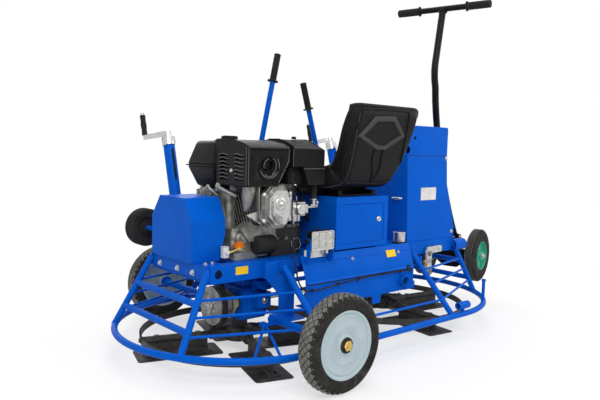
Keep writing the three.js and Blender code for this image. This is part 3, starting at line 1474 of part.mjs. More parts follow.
// Tow handle with its bend, cross bar and grips
function towHandleSolid() {
  const at = (out, near, z) => dollyAt(handlePivot.out + out, near, z);
  const lower = bar(at(0, 0, handlePivot.z), at(towPole.bend, 0, towPole.bendZ), towPole.radius);
  const knee = new THREE.SphereGeometry(towPole.radius, tubeSides, tubeSides / 2);
  knee.translate(...at(towPole.bend, 0, towPole.bendZ));
  const upper = bar(at(towPole.bend, 0, towPole.bendZ), at(towPole.top, 0, towPole.topZ), towPole.radius);
  const cross = bar(at(towPole.top, -towBar.half, towPole.topZ), at(towPole.top, towBar.half, towPole.topZ),
    towBar.radius);
  const grips = [-1, 1].map((s) => [
    bar(at(towPole.top, s * (towBar.half - towBar.gripLength), towPole.topZ), at(towPole.top, s * (towBar.half + seat),
      towPole.topZ), towBar.grip),
    bar(at(towPole.top, s * (towBar.half - towBar.gripLength - towBar.flangeWall), towPole.topZ),
      at(towPole.top, s * (towBar.half - towBar.gripLength), towPole.topZ), towBar.flange),
  ]);
  const boss = bar(at(0, -handlePivot.spread + seat * 2, handlePivot.z), at(0, handlePivot.spread - seat * 2,
    handlePivot.z), handlePivot.boss - ribDepth, shaftSides);
  const reach = handlePivot.spread + handlePivot.ear + ribDepth;
  const pin = bar(at(0, -reach, handlePivot.z), at(0, reach, handlePivot.z), handlePivot.pin, shaftSides);
  return join(lower, solidOf(knee), upper, cross, grips, boss, pin);
}

// Assembly
add("deck_frame", deckSolid(), "blue");
add("rear_panel", panelSolid(), "blue");
add("guard_ring", guardRingSolid(), "blue");
const ringClear = ringSolid(ring.tube + seat);
const axleClear = [-1, 1].map((s) =>
  bar([largeWheel.x, s * axle.root, axle.height], [largeWheel.x, s * axleEnd(), axle.height], axle.radius + seat,
    shaftSides),
);
add("guard_left", cut(guardSolid(-1, sidePostLeft), ringClear, axleClear), "blue");
const tubes = forkTubes();
const rightGuard = join(guardSolid(1, sidePostRight), middleRod(), cut(join(tubes.shells), deckRoom()));
add("guard_right", cut(rightGuard, ringClear, tubes.bores), "blue");
add("belt_guard", beltGuardSolid(), "blue");
add("seat_box", seatBoxSolid(), "blue");
add("box_door", doorSolid(), "blue");
add("door_lock", lockSolid(), "steel");
add("right_tower", towerSolid(), "blue");
add("tower_knob", knobSolid(), "black");
["left", "right"].forEach((side) => {
  add("crank_post_" + side, postSolid(side), "blue");
  add("crank_" + side, crankSolid(side), "steel");
  add("crank_grip_" + side, crankGripSolid(side), "black");
  add("lever_" + side, leverSolid(side), "blue");
});
add("seat_shell", seatShellSolid(), "black");
add("seat_cushion", cushionSolid(), "black");
add("seat_slide", slideSolid(), "black");
add("engine_block", engineSolid(), "cast");
add("muffler_guard", mufflerSolid(), "black");
add("fuel_tank", tankSolid(), "black");
add("fuel_cap", fuelCapSolid(), "black");
add("air_cleaner", cleanerSolid(), "black");
add("recoil_grip", recoilSolid(), "black");
add("oil_cap", oilCapSolid(), "orange");
add("clutch_pulley", clutchSolid(), "steel");
add("drive_belt", beltSolid(), "rubber");
add("cross_shaft", crossShaftSolid(), "steel");
Object.entries({ left: -1, right: 1 }).forEach(([name, side]) => {
  add("gearbox_" + name, gearboxSolid(side), "blue");
  const turn = rotorTurns[name];
  const placed = (solid, extra) => solid.rotate([0, 0, turn + extra]).translate([side * rotorX, 0, 0]);
  add("spider_" + name, placed(spiderSolid(), 0), "dark");
  add("band_ring_" + name, placed(bandSolid(), 0), "dark");
  for (let i = 0; i < armsPerRotor; i++) {
    add("blade_" + name + "_" + (i + 1), placed(bladeSolid(), (360 * i) / armsPerRotor), "dark");
  }
});
Object.entries({ near: -1, far: 1 }).forEach(([name, side]) => {
  add("tyre_" + name, tyreSolid(side), "tyre");
  add("disc_" + name, discSolid(side), "pale");
  add("wheel_leg_" + name, side < 0 ? legSolid() : flipped(legSolid()), "blue");
  add("small_wheel_" + name, smallWheelSolid(-side), "green");
});
add("dolly_bracket", dollyBracketSolid(), "black");
add("dolly_axle", dollyAxleSolid(), "black");
add("tow_handle", towHandleSolid(), "black");
add("work_lamp", lampSolid(), "black");
add("throttle_cable", cableSolid(), "black");
add("front_roller", rollerSolid(), "rubber");

// The origin ends on the floor under the middle of the box round the whole object
const bounds = new THREE.Box3().setFromObject(group);
const middle = bounds.getCenter(new THREE.Vector3());
group.position.set(-middle.x, -middle.y, -bounds.min.z);

export default group;
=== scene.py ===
import bpy
import bmesh
import math
import numpy as np
from mathutils import Matrix, Vector


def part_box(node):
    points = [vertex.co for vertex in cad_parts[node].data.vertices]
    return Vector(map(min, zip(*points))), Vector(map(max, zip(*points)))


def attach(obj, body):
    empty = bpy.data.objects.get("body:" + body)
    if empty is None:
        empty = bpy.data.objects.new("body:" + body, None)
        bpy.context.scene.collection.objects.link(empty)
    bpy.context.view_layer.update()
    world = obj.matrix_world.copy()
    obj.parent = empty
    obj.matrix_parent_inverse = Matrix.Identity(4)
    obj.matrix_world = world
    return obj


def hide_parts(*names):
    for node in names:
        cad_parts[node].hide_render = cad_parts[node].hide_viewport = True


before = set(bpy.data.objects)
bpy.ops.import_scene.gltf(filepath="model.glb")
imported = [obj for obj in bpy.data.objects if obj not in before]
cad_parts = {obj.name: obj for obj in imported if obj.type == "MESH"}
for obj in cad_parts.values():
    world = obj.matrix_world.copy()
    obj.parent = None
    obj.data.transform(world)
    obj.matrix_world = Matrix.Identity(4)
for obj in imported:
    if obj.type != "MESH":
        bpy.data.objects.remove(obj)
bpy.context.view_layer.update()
print("frame loaded:", len(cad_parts), "nodes")

# lengths below are millimetres with the origin between the rotors; the guard ring gives the shift
ringLow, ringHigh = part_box("guard_ring")
shiftX = (ringLow[0] + ringHigh[0]) / 2
metre = 1000  # millimetres

scene = bpy.context.scene
scene.view_settings.view_transform = "Standard"

alongX, alongY, upward = (1, 0, 0), (0, 1, 0), (0, 0, 1)
left, rear, down = (-1, 0, 0), (0, -1, 0), (0, 0, -1)

# camera: fitted to the ring, the wheels and the frame in the photograph
camera = {
    "lens": 37.2,
    "sensor": 36,
    "yaw": 48.83,
    "pitch": 4.64,
    "roll": 1.363,
    "place": (-1962.9, -2099.4, 835.9),
}


def makeCamera():
    yaw, pitch, roll = (math.radians(camera[k]) for k in ("yaw", "pitch", "roll"))
    level = math.cos(pitch)
    ahead = Vector((math.cos(yaw) * level, math.sin(yaw) * level, -math.sin(pitch)))
    right = Vector((math.sin(yaw), -math.cos(yaw), 0))
    up = right.cross(ahead)
    r = math.cos(roll) * right + math.sin(roll) * up
    u = -math.sin(roll) * right + math.cos(roll) * up
    x, y, z = (c / metre for c in camera["place"])
    data = bpy.data.cameras.new("photoCamera")
    data.lens = camera["lens"]
    data.sensor_width = camera["sensor"]
    obj = bpy.data.objects.new("photoCamera", data)
    obj.matrix_world = Matrix((
        (r.x, u.x, -ahead.x, x + shiftX),
        (r.y, u.y, -ahead.y, y),
        (r.z, u.z, -ahead.z, z),
        (0, 0, 0, 1),
    ))
    scene.collection.objects.link(obj)
    scene.camera = obj


makeCamera()


# adds nodes to a tree: each entry is a type, its socket values and its own settings
def addNodes(tree, entries):
    made = {}
    for name, (kind, values, settings) in entries.items():
        node = tree.nodes.new(kind)
        for key, value in settings.items():
            setattr(node, key, value)
        for key, value in values.items():
            node.inputs[key].default_value = value
        made[name] = node
    return made


# joins sockets, given as (from node, its output, to node, its input)
def wire(tree, nodes, joints):
    for start, output, end, entry in joints:
        tree.links.new(nodes[start].outputs[output], nodes[end].inputs[entry])


def mathNode(operation, **values):
    return "ShaderNodeMath", {int(k[1:]): v for k, v in values.items()}, {"operation": operation}


# studio: pale floor, white world for the camera and for glossy rays, soft lamps
studio = {
    "worldLight": 0.5,
    "floorColor": (0.9, 0.9, 0.9, 1),
    "floorSize": 14.0,
    "floorRough": 0.9,
    "fadeFrom": 0.5,
    "fadeTo": 2.6,
    "fadeLow": 0.5,
}
white = (1, 1, 1, 1)
lamps = [  # name, place, size, power, aim
    ("keyLamp", (-2.4, -3.4, 3.6), 2.6, 120, (0, 0, 0.4)),
    ("fillLamp", (3.2, -2.2, 2.4), 2.6, 40, (0, 0, 0.5)),
    ("backLamp", (0.5, 3.6, 3.0), 3.0, 60, (0, 0, 0.5)),
    ("topLamp", (0.0, 0.0, 4.4), 3.4, 60, (0, 0, 0)),
]


def makeWorld():
    world = bpy.data.worlds.new("studioWorld")
    scene.world = world
    world.use_nodes = True
    tree = world.node_tree
    tree.nodes.clear()
    nodes = addNodes(tree, {
        "out": ("ShaderNodeOutputWorld", {}, {}),
        "light": ("ShaderNodeBackground", {"Color": white, "Strength": studio["worldLight"]}, {}),
        "shown": ("ShaderNodeBackground", {"Color": white, "Strength": 1}, {}),
        "path": ("ShaderNodeLightPath", {}, {}),
        "through": mathNode("MAXIMUM"),
        "seen": mathNode("MAXIMUM"),
        "mix": ("ShaderNodeMixShader", {}, {}),
    })
    wire(tree, nodes, [
        ("path", "Is Camera Ray", "through", 0),
        ("path", "Is Transmission Ray", "through", 1),
        ("through", 0, "seen", 0),
        ("path", "Is Glossy Ray", "seen", 1),
        ("seen", 0, "mix", "Fac"),
        ("light", 0, "mix", 1),
        ("shown", 0, "mix", 2),
        ("mix", 0, "out", "Surface"),
    ])


def makeLamps():
    for name, place, size, power, aim in lamps:
        data = bpy.data.lights.new(name, "AREA")
        data.size = size
        data.energy = power
        obj = bpy.data.objects.new(name, data)
        obj.location = place
        way = Vector(aim) - Vector(place)
        obj.rotation_euler = way.to_track_quat("-Z", "Y").to_euler()
        scene.collection.objects.link(obj)


# the floor fades to the backdrop's white away from the machine, for the camera and in reflections
def makeFloor():
    half = studio["floorSize"]
    mesh = bpy.data.meshes.new("studioFloor")
    corners = [(-half, -half, 0), (half, -half, 0), (half, half, 0), (-half, half, 0)]
    mesh.from_pydata(corners, [], [(0, 1, 2, 3)])
    floor = bpy.data.objects.new("studioFloor", mesh)
    scene.collection.objects.link(floor)
    mat = bpy.data.materials.new("studioFloor")
    mat.use_nodes = True
    tree = mat.node_tree
    nodes = addNodes(tree, {
        "white": ("ShaderNodeEmission", {}, {}),
        "path": ("ShaderNodeLightPath", {}, {}),
        "coords": ("ShaderNodeTexCoord", {}, {}),
        "reach": ("ShaderNodeVectorMath", {}, {"operation": "LENGTH"}),
        "fade": ("ShaderNodeMapRange", {"From Min": studio["fadeFrom"], "From Max": studio["fadeTo"],
                                        "To Min": studio["fadeLow"]}, {}),
        "either": mathNode("MAXIMUM"),
        "times": mathNode("MULTIPLY"),
        "mix": ("ShaderNodeMixShader", {}, {}),
    })
    nodes["shader"], nodes["out"] = (tree.nodes[n] for n in ("Principled BSDF", "Material Output"))
    nodes["shader"].inputs["Base Color"].default_value = studio["floorColor"]
    nodes["shader"].inputs["Roughness"].default_value = studio["floorRough"]
    wire(tree, nodes, [
        ("coords", "Object", "reach", 0),
        ("reach", "Value", "fade", "Value"),
        ("path", "Is Camera Ray", "either", 0),
        ("path", "Is Glossy Ray", "either", 1),
        ("either", 0, "times", 0),
        ("fade", 0, "times", 1),
        ("times", 0, "mix", "Fac"),
        ("shader", 0, "mix", 1),
        ("white", 0, "mix", 2),
        ("mix", 0, "out", "Surface"),
    ])
    mesh.materials.append(mat)


makeWorld()
makeLamps()
makeFloor()
print("camera and studio made")


# finishes: slot, colour, second colour, mottle size, roughness, its spread, metal, coat, grain size,
# grain depth, dust
finishes = {
    "bluePaint": ("blue_paint", (0.0008, 0.104, 0.57), (0.0008, 0.09, 0.5), 9, 0.3, 0.1, 0, 0, 900, 0.04, 0.03),
    "blackPaint": ("black_paint", (0.005, 0.005, 0.0055), (0.009, 0.009, 0.0095), 14,
                   0.3, 0.12, 0, 0.03, 700, 0.06, 0.05),
    # light grey for lines laid along black edges, lips and ribs: painted highlight
    "paintedHighlight": ("black_paint", (0.17, 0.17, 0.175), (0.11, 0.11, 0.115), 30, 0.3, 0.1, 0, 0, 700, 0.03, 0.05),
    # a lighter black for the seat's raised relief and piping seams: painted highlight
    "shellHighlight": ("black_plastic", (0.06, 0.06, 0.061), (0.045, 0.045, 0.046), 30, 0.3, 0.1, 0, 0, 700, 0.03, 0.05),
    "blackPlastic": ("black_plastic", (0.008, 0.008, 0.0085), (0.013, 0.013, 0.0135), 30,
                     0.42, 0.1, 0, 0, 1500, 0.12, 0.08),
    "blackVinyl": ("black_fabric", (0.012, 0.012, 0.013), (0.018, 0.018, 0.019), 22,
                   0.34, 0.1, 0, 0.08, 620, 0.22, 0.06),
    "blackRubber": ("rubber", (0.016, 0.016, 0.016), (0.028, 0.027, 0.026), 26, 0.7, 0.14, 0, 0, 1100, 0.25, 0.25),
    "tyreRubber": ("tyre", (0.014, 0.014, 0.0135), (0.034, 0.032, 0.028), 18, 0.78, 0.12, 0, 0, 800, 0.3, 0.35),
    # also lays thin light rings on the small tyres' lands, where it is painted highlight
    "treadRubber": ("tyre", (0.2, 0.197, 0.183), (0.095, 0.093, 0.085), 22, 0.75, 0.12, 0, 0, 800, 0.3, 0.2),
    "greyPaint": ("grey_paint", (0.42, 0.5, 0.53), (0.36, 0.45, 0.49), 12, 0.35, 0.1, 0, 0.25, 800, 0.05, 0.1),
    "greenPaint": ("green_wheel", (0.03, 0.36, 0.23), (0.02, 0.28, 0.18), 16, 0.36, 0.1, 0, 0.2, 900, 0.05, 0.1),
    "castMetal": ("cast_metal", (0.42, 0.42, 0.39), (0.17, 0.17, 0.155), 34, 0.42, 0.2, 0.8, 0, 1300, 0.35, 0.1),
    "brightSteel": ("steel", (0.62, 0.62, 0.61), (0.45, 0.45, 0.44), 60, 0.26, 0.14, 1, 0, 1700, 0.08, 0.05),
    "brass": ("steel", (0.72, 0.5, 0.16), (0.5, 0.34, 0.1), 50, 0.3, 0.15, 1, 0, 1500, 0.08, 0.05),
    "darkSteel": ("dark_steel", (0.022, 0.021, 0.02), (0.05, 0.047, 0.043), 24, 0.5, 0.2, 0.3, 0, 600, 0.25, 0.3),
    "orangePlastic": ("orange_plastic", (0.78, 0.2, 0.01), (0.62, 0.13, 0.01), 40, 0.4, 0.1, 0, 0, 1200, 0.1, 0.05),
    "yellowPlate": ("orange_plastic", (0.9, 0.6, 0.02), (0.82, 0.5, 0.02), 30, 0.42, 0.1, 0, 0.1, 900, 0.03, 0.05),
    "whitePlastic": ("black_plastic", (0.72, 0.72, 0.7), (0.6, 0.6, 0.58), 30, 0.45, 0.1, 0, 0, 1200, 0.08, 0.1),
    "lampLens": ("black_plastic", (0.52, 0.52, 0.5), (0.4, 0.4, 0.38), 70, 0.16, 0.08, 0.35, 0.6, 900, 0.06, 0.02),
}
paintShine = {"bluePaint": 0.035}  # specular level; other finishes without metal have the common one
commonShine, metalShine = 0.09, 0.5
coatRough = 0.12
dusty = {"color": (0.3, 0.29, 0.27, 1), "rough": 0.85}
grainHeight = 0.0006


# a node group with a vector and one number in, and one value out
def newGroup(name, number, value, result):
    group = bpy.data.node_groups.new(name, "ShaderNodeTree")
    group.interface.new_socket(name="Vector", in_out="INPUT", socket_type="NodeSocketVector")
    socket = group.interface.new_socket(name=number, in_out="INPUT", socket_type="NodeSocketFloat")
    socket.default_value = value
    group.interface.new_socket(name=result, in_out="OUTPUT", socket_type="NodeSocketFloat")
    return group


# two noises, a wide one and a fine one, give a cloudy mask from 0 to 1
def makeMottleGroup():
    group = newGroup("mottle", "Size", 20.0, "Mask")
    nodes = addNodes(group, {
        "start": ("NodeGroupInput", {}, {}),
        "end": ("NodeGroupOutput", {}, {}),
        "wide": ("ShaderNodeTexNoise", {"Detail": 4}, {}),
        "fine": ("ShaderNodeTexNoise", {"Detail": 3}, {}),
        "scale": mathNode("MULTIPLY", _1=7),
        "ramp": ("ShaderNodeMapRange", {"From Min": 0.36, "From Max": 0.64}, {}),
        "mix": mathNode("MULTIPLY_ADD", _1=0.35),
        "part": mathNode("MULTIPLY", _1=0.65),
    })
    wire(group, nodes, [
        ("start", "Vector", "wide", "Vector"),
        ("start", "Vector", "fine", "Vector"),
        ("start", "Size", "wide", "Scale"),
        ("start", "Size", "scale", 0),
        ("scale", 0, "fine", "Scale"),
        ("wide", "Fac", "part", 0),
        ("fine", "Fac", "mix", 0),
        ("part", 0, "mix", 2),
        ("mix", 0, "ramp", "Value"),
        ("ramp", 0, "end", "Mask"),
    ])
    return group


# dust: more of it low down, broken up by noise, and more on faces that look upwards
def makeDustGroup():
    group = newGroup("dustFall", "Amount", 0.3, "Mask")
    nodes = addNodes(group, {
        "start": ("NodeGroupInput", {}, {}),
        "end": ("NodeGroupOutput", {}, {}),
        "split": ("ShaderNodeSeparateXYZ", {}, {}),
        "low": ("ShaderNodeMapRange", {"From Min": 0.55, "From Max": 0.02}, {}),
        "noise": ("ShaderNodeTexNoise", {"Scale": 22, "Detail": 8, "Roughness": 0.68}, {}),
        "speck": ("ShaderNodeMapRange", {"From Min": 0.5, "From Max": 0.72}, {}),
        "geometry": ("ShaderNodeNewGeometry", {}, {}),
        "facing": ("ShaderNodeSeparateXYZ", {}, {}),
        "upward": ("ShaderNodeMapRange", {"From Min": -0.2, "From Max": 1.0, "To Min": 0.35}, {}),
        "broken": mathNode("MULTIPLY"),
        "lying": mathNode("MULTIPLY"),
        "amount": mathNode("MULTIPLY"),
    })
    nodes["amount"].use_clamp = True
    wire(group, nodes, [
        ("start", "Vector", "split", 0),
        ("start", "Vector", "noise", "Vector"),
        ("split", "Z", "low", "Value"),
        ("noise", "Fac", "speck", "Value"),
        ("geometry", "Normal", "facing", 0),
        ("facing", "Z", "upward", "Value"),
        ("low", 0, "broken", 0),
        ("speck", 0, "broken", 1),
        ("broken", 0, "lying", 0),
        ("upward", 0, "lying", 1),
        ("lying", 0, "amount", 0),
        ("start", "Amount", "amount", 1),
        ("amount", 0, "end", "Mask"),
    ])
    return group


# grain: a fine noise with a few larger pits, as a height
def makeGrainGroup():
    group = newGroup("surfaceGrain", "Size", 900.0, "Height")
    nodes = addNodes(group, {
        "start": ("NodeGroupInput", {}, {}),
        "end": ("NodeGroupOutput", {}, {}),
        "noise": ("ShaderNodeTexNoise", {"Detail": 2}, {}),
        "cells": ("ShaderNodeTexVoronoi", {}, {}),
        "both": mathNode("MULTIPLY_ADD", _1=0.45),
    })
    wire(group, nodes, [
        ("start", "Vector", "noise", "Vector"),
        ("start", "Vector", "cells", "Vector"),
        ("start", "Size", "noise", "Scale"),
        ("start", "Size", "cells", "Scale"),
        ("cells", "Distance", "both", 0),
        ("noise", "Fac", "both", 2),
        ("both", 0, "end", "Height"),
    ])
    return group


mottleGroup, dustGroup, grainGroup = makeMottleGroup(), makeDustGroup(), makeGrainGroup()


# sockets 6 and 7 of a Mix node are its two colours, 2 and 3 its two numbers
def makeFinish(name):
    _, color, other, size, rough, spread, metal, coat, grain, depth, dust = finishes[name]
    mat = bpy.data.materials.new(name)
    mat.use_nodes = True
    tree = mat.node_tree
    nodes = addNodes(tree, {
        "coords": ("ShaderNodeTexCoord", {}, {}),
        "mottle": ("ShaderNodeGroup", {"Size": size}, {"node_tree": mottleGroup}),
        "dust": ("ShaderNodeGroup", {"Amount": dust}, {"node_tree": dustGroup}),
        "grain": ("ShaderNodeGroup", {"Size": grain}, {"node_tree": grainGroup}),
        "cloud": ("ShaderNodeMix", {6: (*color, 1), 7: (*other, 1)}, {"data_type": "RGBA"}),
        "dustColor": ("ShaderNodeMix", {7: dusty["color"]}, {"data_type": "RGBA"}),
        "rough": ("ShaderNodeMapRange", {"To Min": rough, "To Max": rough + spread}, {}),
        "dustRough": ("ShaderNodeMix", {3: dusty["rough"]}, {"data_type": "FLOAT"}),
        "bump": ("ShaderNodeBump", {"Strength": depth, "Distance": grainHeight}, {}),
    })
    nodes["shader"] = tree.nodes["Principled BSDF"]
    wire(tree, nodes, [("coords", "Object", group, "Vector") for group in ("mottle", "dust", "grain")])
    wire(tree, nodes, [
        ("mottle", "Mask", "cloud", 0),
        ("cloud", 2, "dustColor", 6),
        ("dust", "Mask", "dustColor", 0),
        ("dustColor", 2, "shader", "Base Color"),
        ("mottle", "Mask", "rough", "Value"),
        ("rough", 0, "dustRough", 2),
        ("dust", "Mask", "dustRough", 0),
        ("dustRough", 0, "shader", "Roughness"),
        ("grain", "Height", "bump", "Height"),
        ("bump", "Normal", "shader", "Normal"),
    ])
    shine = metalShine if metal else paintShine.get(name, commonShine)
    for key, value in (("Metallic", metal), ("Coat Weight", coat), ("Specular IOR Level", shine),
                       ("Coat Roughness", coatRough)):
        nodes["shader"].inputs[key].default_value = value
    return mat


materials = {name: makeFinish(name) for name in finishes}
print("finishes made:", len(materials))


# mesh building: every form is a pair of vertices (millimetres) and faces
def gridFaces(rows, columns, wrapRows=False, wrapColumns=False):
    i = np.arange(rows if wrapRows else rows - 1)
    j = np.arange(columns if wrapColumns else columns - 1)
    a, b = np.meshgrid(i, j, indexing="ij")
    a, b = a.ravel(), b.ravel()
    a2, b2 = (a + 1) % rows, (b + 1) % columns
    corners = [a * columns + b, a * columns + b2, a2 * columns + b2, a2 * columns + b]
    return np.stack(corners, 1).tolist()


# two like outlines, joined by walls and closed at both ends
def joined(lower, upper):
    count = len(lower)
    faces = [[k, (k + 1) % count, count + (k + 1) % count, count + k] for k in range(count)]
    ends = [list(range(count)), list(range(count, 2 * count))[::-1]]
    return np.concatenate([lower, upper]), faces + ends


# the same, with its ends wound the same way as its walls
def solidBetween(lower, upper):
    verts, faces = joined(lower, upper)
    return verts, faces[:-2] + [face[::-1] for face in faces[-2:]]


# two like grids of points, as the two faces of a sheet, joined round their edge
def sheetBetween(top, under):
    rows, columns = top.shape[:2]
    count = rows * columns
    faces = gridFaces(rows, columns)
    back = [[a + count, d + count, c + count, b + count] for a, b, c, d in faces]
    ids = edgeOf(rows, columns)
    after = ids[1:] + ids[:1]
    rim = [[i, i + count, j + count, j] for i, j in zip(ids, after)]
    return np.concatenate([top.reshape(-1, 3), under.reshape(-1, 3)]), faces + back + rim


# the numbers of a grid's points all round its edge
def edgeOf(rows, columns):
    edge = [(0, j) for j in range(columns)] + [(i, columns - 1) for i in range(1, rows)]
    edge += [(rows - 1, j) for j in range(columns - 2, -1, -1)]
    edge += [(i, 0) for i in range(rows - 2, 0, -1)]
    return [i * columns + j for i, j in edge]


def unit(v):
    v = np.asarray(v, float)
    return v / np.linalg.norm(v)


# two directions square to an axis
def sideAxes(axis):
    axis = unit(axis)
    helper = np.array([0, 0, 1.0]) if abs(axis[2]) < 0.9 else np.array([1.0, 0, 0])
    a = unit(np.cross(helper, axis))
    return a, np.cross(axis, a)


# a circle of the given radius carried along a path, with its frame turned as little as possible
def tube(path, radius, sides=16, closed=False):
    path = np.asarray(path, float)
    count = len(path)
    if closed:
        tangents = np.roll(path, -1, 0) - np.roll(path, 1, 0)
    else:
        tangents = np.gradient(path, axis=0)
    tangents /= np.linalg.norm(tangents, axis=1)[:, None]
    normals = [sideAxes(tangents[0])[0]]
    for k in range(1, count):
        n = normals[-1] - np.dot(normals[-1], tangents[k]) * tangents[k]
        normals.append(n / np.linalg.norm(n))
    normals = np.array(normals)
    others = np.cross(tangents, normals)
    angles = np.linspace(0, 2 * math.pi, sides, endpoint=False)
    round1 = np.cos(angles)[None, :, None] * normals[:, None, :]
    round2 = np.sin(angles)[None, :, None] * others[:, None, :]
    verts = path[:, None, :] + radius * (round1 + round2)
    faces = gridFaces(count, sides, wrapRows=closed, wrapColumns=True)
    if not closed:
        faces.append(list(range(sides)))
        faces.append(list(range((count - 1) * sides, count * sides))[::-1])
    return verts.reshape(-1, 3), faces


def rod(a, b, radius, sides=16):
    return tube([a, b], radius, sides)


# an outline of (radius, height) points turned round an axis; it ends on the axis, or closes on itself
def turned(outline, origin, axis, sides=32, closed=False):
    outline = np.asarray(outline, float)
    a, b = sideAxes(axis)
    axis = unit(axis)
    angles = np.linspace(0, 2 * math.pi, sides, endpoint=False)
    around = np.cos(angles)[:, None] * a + np.sin(angles)[:, None] * b
    verts = (np.asarray(origin, float) + outline[:, 1][None, :, None] * axis
             + outline[:, 0][None, :, None] * around[:, None, :])
    return verts.reshape(-1, 3), gridFaces(sides, len(outline), wrapRows=True, wrapColumns=closed)


# a ring-shaped pipe wall: outer radius, bore, from a to b
def pipe(a, b, radius, bore, sides=28):
    a, b = np.asarray(a, float), np.asarray(b, float)
    length, lip = np.linalg.norm(b - a), 1.2
    outline = [(bore, lip), (bore + lip, 0), (radius - lip, 0), (radius, lip), (radius, length - lip),
               (radius - lip, length), (bore + lip, length), (bore, length - lip)]
    return turned(outline, a, b - a, sides, closed=True)


# an outline in two axes drawn out along the third
def prism(plane, points, low, high):
    points = np.asarray(points, float)
    first, second, along = {"xy": (0, 1, 2), "yz": (1, 2, 0), "xz": (0, 2, 1)}[plane]
    ends = np.zeros((2, len(points), 3))
    ends[:, :, first], ends[:, :, second] = points[:, 0], points[:, 1]
    ends[:, :, along] = [[low], [high]]
    return joined(*ends)


def block(x0, x1, y0, y1, z0, z1):
    return prism("xy", [(x0, y0), (x1, y0), (x1, y1), (x0, y1)], z0, z1)


# points round a circle or a part of it, from one angle to another
def arc(cx, cy, radius, start, end, count):
    angles = [math.radians(a) for a in np.linspace(start, end, count)]
    return [(cx + radius * math.cos(a), cy + radius * math.sin(a)) for a in angles]


# a rectangle's outline with rounded corners
def roundedOutline(x0, x1, y0, y1, corner, steps=6):
    points = []
    for cx, cy, start in ((x1 - corner, y1 - corner, 0), (x0 + corner, y1 - corner, 90),
                          (x0 + corner, y0 + corner, 180), (x1 - corner, y0 + corner, 270)):
        points += arc(cx, cy, corner, start, start + 90, steps)
    return points


def roundedBox(x0, x1, y0, y1, z0, z1, corner):
    return prism("xy", roundedOutline(x0, x1, y0, y1, corner, 5), z0, z1)


# a hexagon-headed bolt with its washer, pointing along an axis; lengths are shares of the size
def bolt(place, axis, size=8.0, washer=True):
    place, axis = np.asarray(place, float), unit(axis)
    head = [(0, 0), (0.92, 0), (1, 0.1), (1, 0.62), (0.85, 0.75), (0, 0.75)]
    parts = [turned(np.array(head) * size, place + axis * size * 0.22, axis, 6)]
    if washer:
        s, under = size, -1
        outline = [(0, under), (1.35 * s, under), (1.35 * s, 0.2 * s), (1.2 * s, 0.26 * s), (0, 0.26 * s)]
        parts.append(turned(outline, place, axis, 20))
    return parts


# the outline of a disc whose edges are cut back a little
def capped(radius, length, cut=1.5):
    return [(0, 0), (radius - cut, 0), (radius, cut), (radius, length - cut), (radius - cut, length),
            (0, length)]


# a disc with cut edges, standing on a place
def disc(radius, length, cut, place, axis, sides):
    return turned(capped(radius, length, cut), place, axis, sides)


def turnAbout(axis, degrees):
    return np.array(Matrix.Rotation(math.radians(degrees), 3, Vector(unit(axis))))


# welds doubled points, drops the faces that collapse, and turns the form so that its faces look out
def closeForm(form):
    verts, faces = form
    verts = np.asarray(verts, float)
    _, index, back = np.unique(np.round(verts, 3), axis=0, return_index=True, return_inverse=True)
    back = back.reshape(-1)
    kept = []
    for face in faces:
        ids = back[face]
        ids = ids[ids != np.roll(ids, 1)]
        if len(ids) > 2 and len(set(ids.tolist())) == len(ids):
            kept.append(ids)
    points = verts[index]
    volume = 0.0
    for ids in kept:
        p = points[ids]
        fan = np.broadcast_to(p[0], p[1:-1].shape)
        volume += np.einsum("ij,ij->", np.cross(p[1:-1], p[2:]), fan)
    if volume < 0:
        kept = [ids[::-1] for ids in kept]
    return points, kept


pieceNames = []
bevelAngle = 28  # edges sharper than this are rounded


def makePiece(name, forms, finish, body="machine", nodes=(), bevel=0.0, segments=2, sharp=38):
    points, faces, base = [], [], 0
    for form in forms:
        p, f = closeForm(form)
        points.append(p)
        faces += [(ids + base).tolist() for ids in f]
        base += len(p)
    verts = np.concatenate(points) / metre
    verts[:, 0] += shiftX
    mesh = bpy.data.meshes.new(name)
    mesh.from_pydata(verts.tolist(), [], faces)
    mesh.validate()
    return dress(name, mesh, finish, body, nodes, bevel, segments, sharp)


def dress(name, mesh, finish, body, nodes, bevel, segments, sharp):
    mesh.materials.clear()
    mesh.materials.append(materials[finish])
    mesh.shade_smooth()
    mesh.set_sharp_from_angle(angle=math.radians(sharp))
    obj = bpy.data.objects.new(name, mesh)
    scene.collection.objects.link(obj)
    if bevel:
        m = obj.modifiers.new("softEdge", "BEVEL")
        m.width = bevel / metre
        m.segments = segments
        m.limit_method = "ANGLE"
        m.angle_limit = math.radians(bevelAngle)
        m.use_clamp_overlap = True
        m.harden_normals = True
    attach(obj, body)
    if nodes:
        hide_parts(*nodes)
    pieceNames.append(name)
    return obj


# a copy of a solid with its points welded and its flat faces joined, so that its edges can be rounded;
# reshape gives each point's shift in x, after the faces are cut at a height
def fromSolid(node, name, finish, body="machine", bevel=1.5, segments=2, cutHeight=None, reshape=None):
    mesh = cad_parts[node].data.copy()
    bm = bmesh.new()
    bm.from_mesh(mesh)
    bmesh.ops.remove_doubles(bm, verts=bm.verts, dist=3e-6)
    if reshape:
        bmesh.ops.bisect_plane(bm, geom=bm.verts[:] + bm.edges[:] + bm.faces[:], dist=1e-6,
                               plane_co=(0, 0, cutHeight / metre), plane_no=upward)
        for v in bm.verts:
            v.co.x += reshape((v.co.x - shiftX) * metre, v.co.y * metre, v.co.z * metre) / metre
    bmesh.ops.dissolve_limit(bm, angle_limit=0.03, verts=bm.verts, edges=bm.edges)
    bm.to_mesh(mesh)
    bm.free()
    mesh.name = name
    return dress(name, mesh, finish, body, [node], bevel, segments, 38)


# guard ring, with the socket tube and the post that stand on it
ring = {"centre": 455, "radius": 505, "height": 107, "tube": 13, "steps": 40, "straight": 12}
socketTube = {"x": 400, "length": 78, "radius": 17, "bore": 12, "y": -500, "z": 146, "stem": 9}
ringPost = {"x": 707, "y": -434, "radius": 8, "top": 217, "cap": 12}


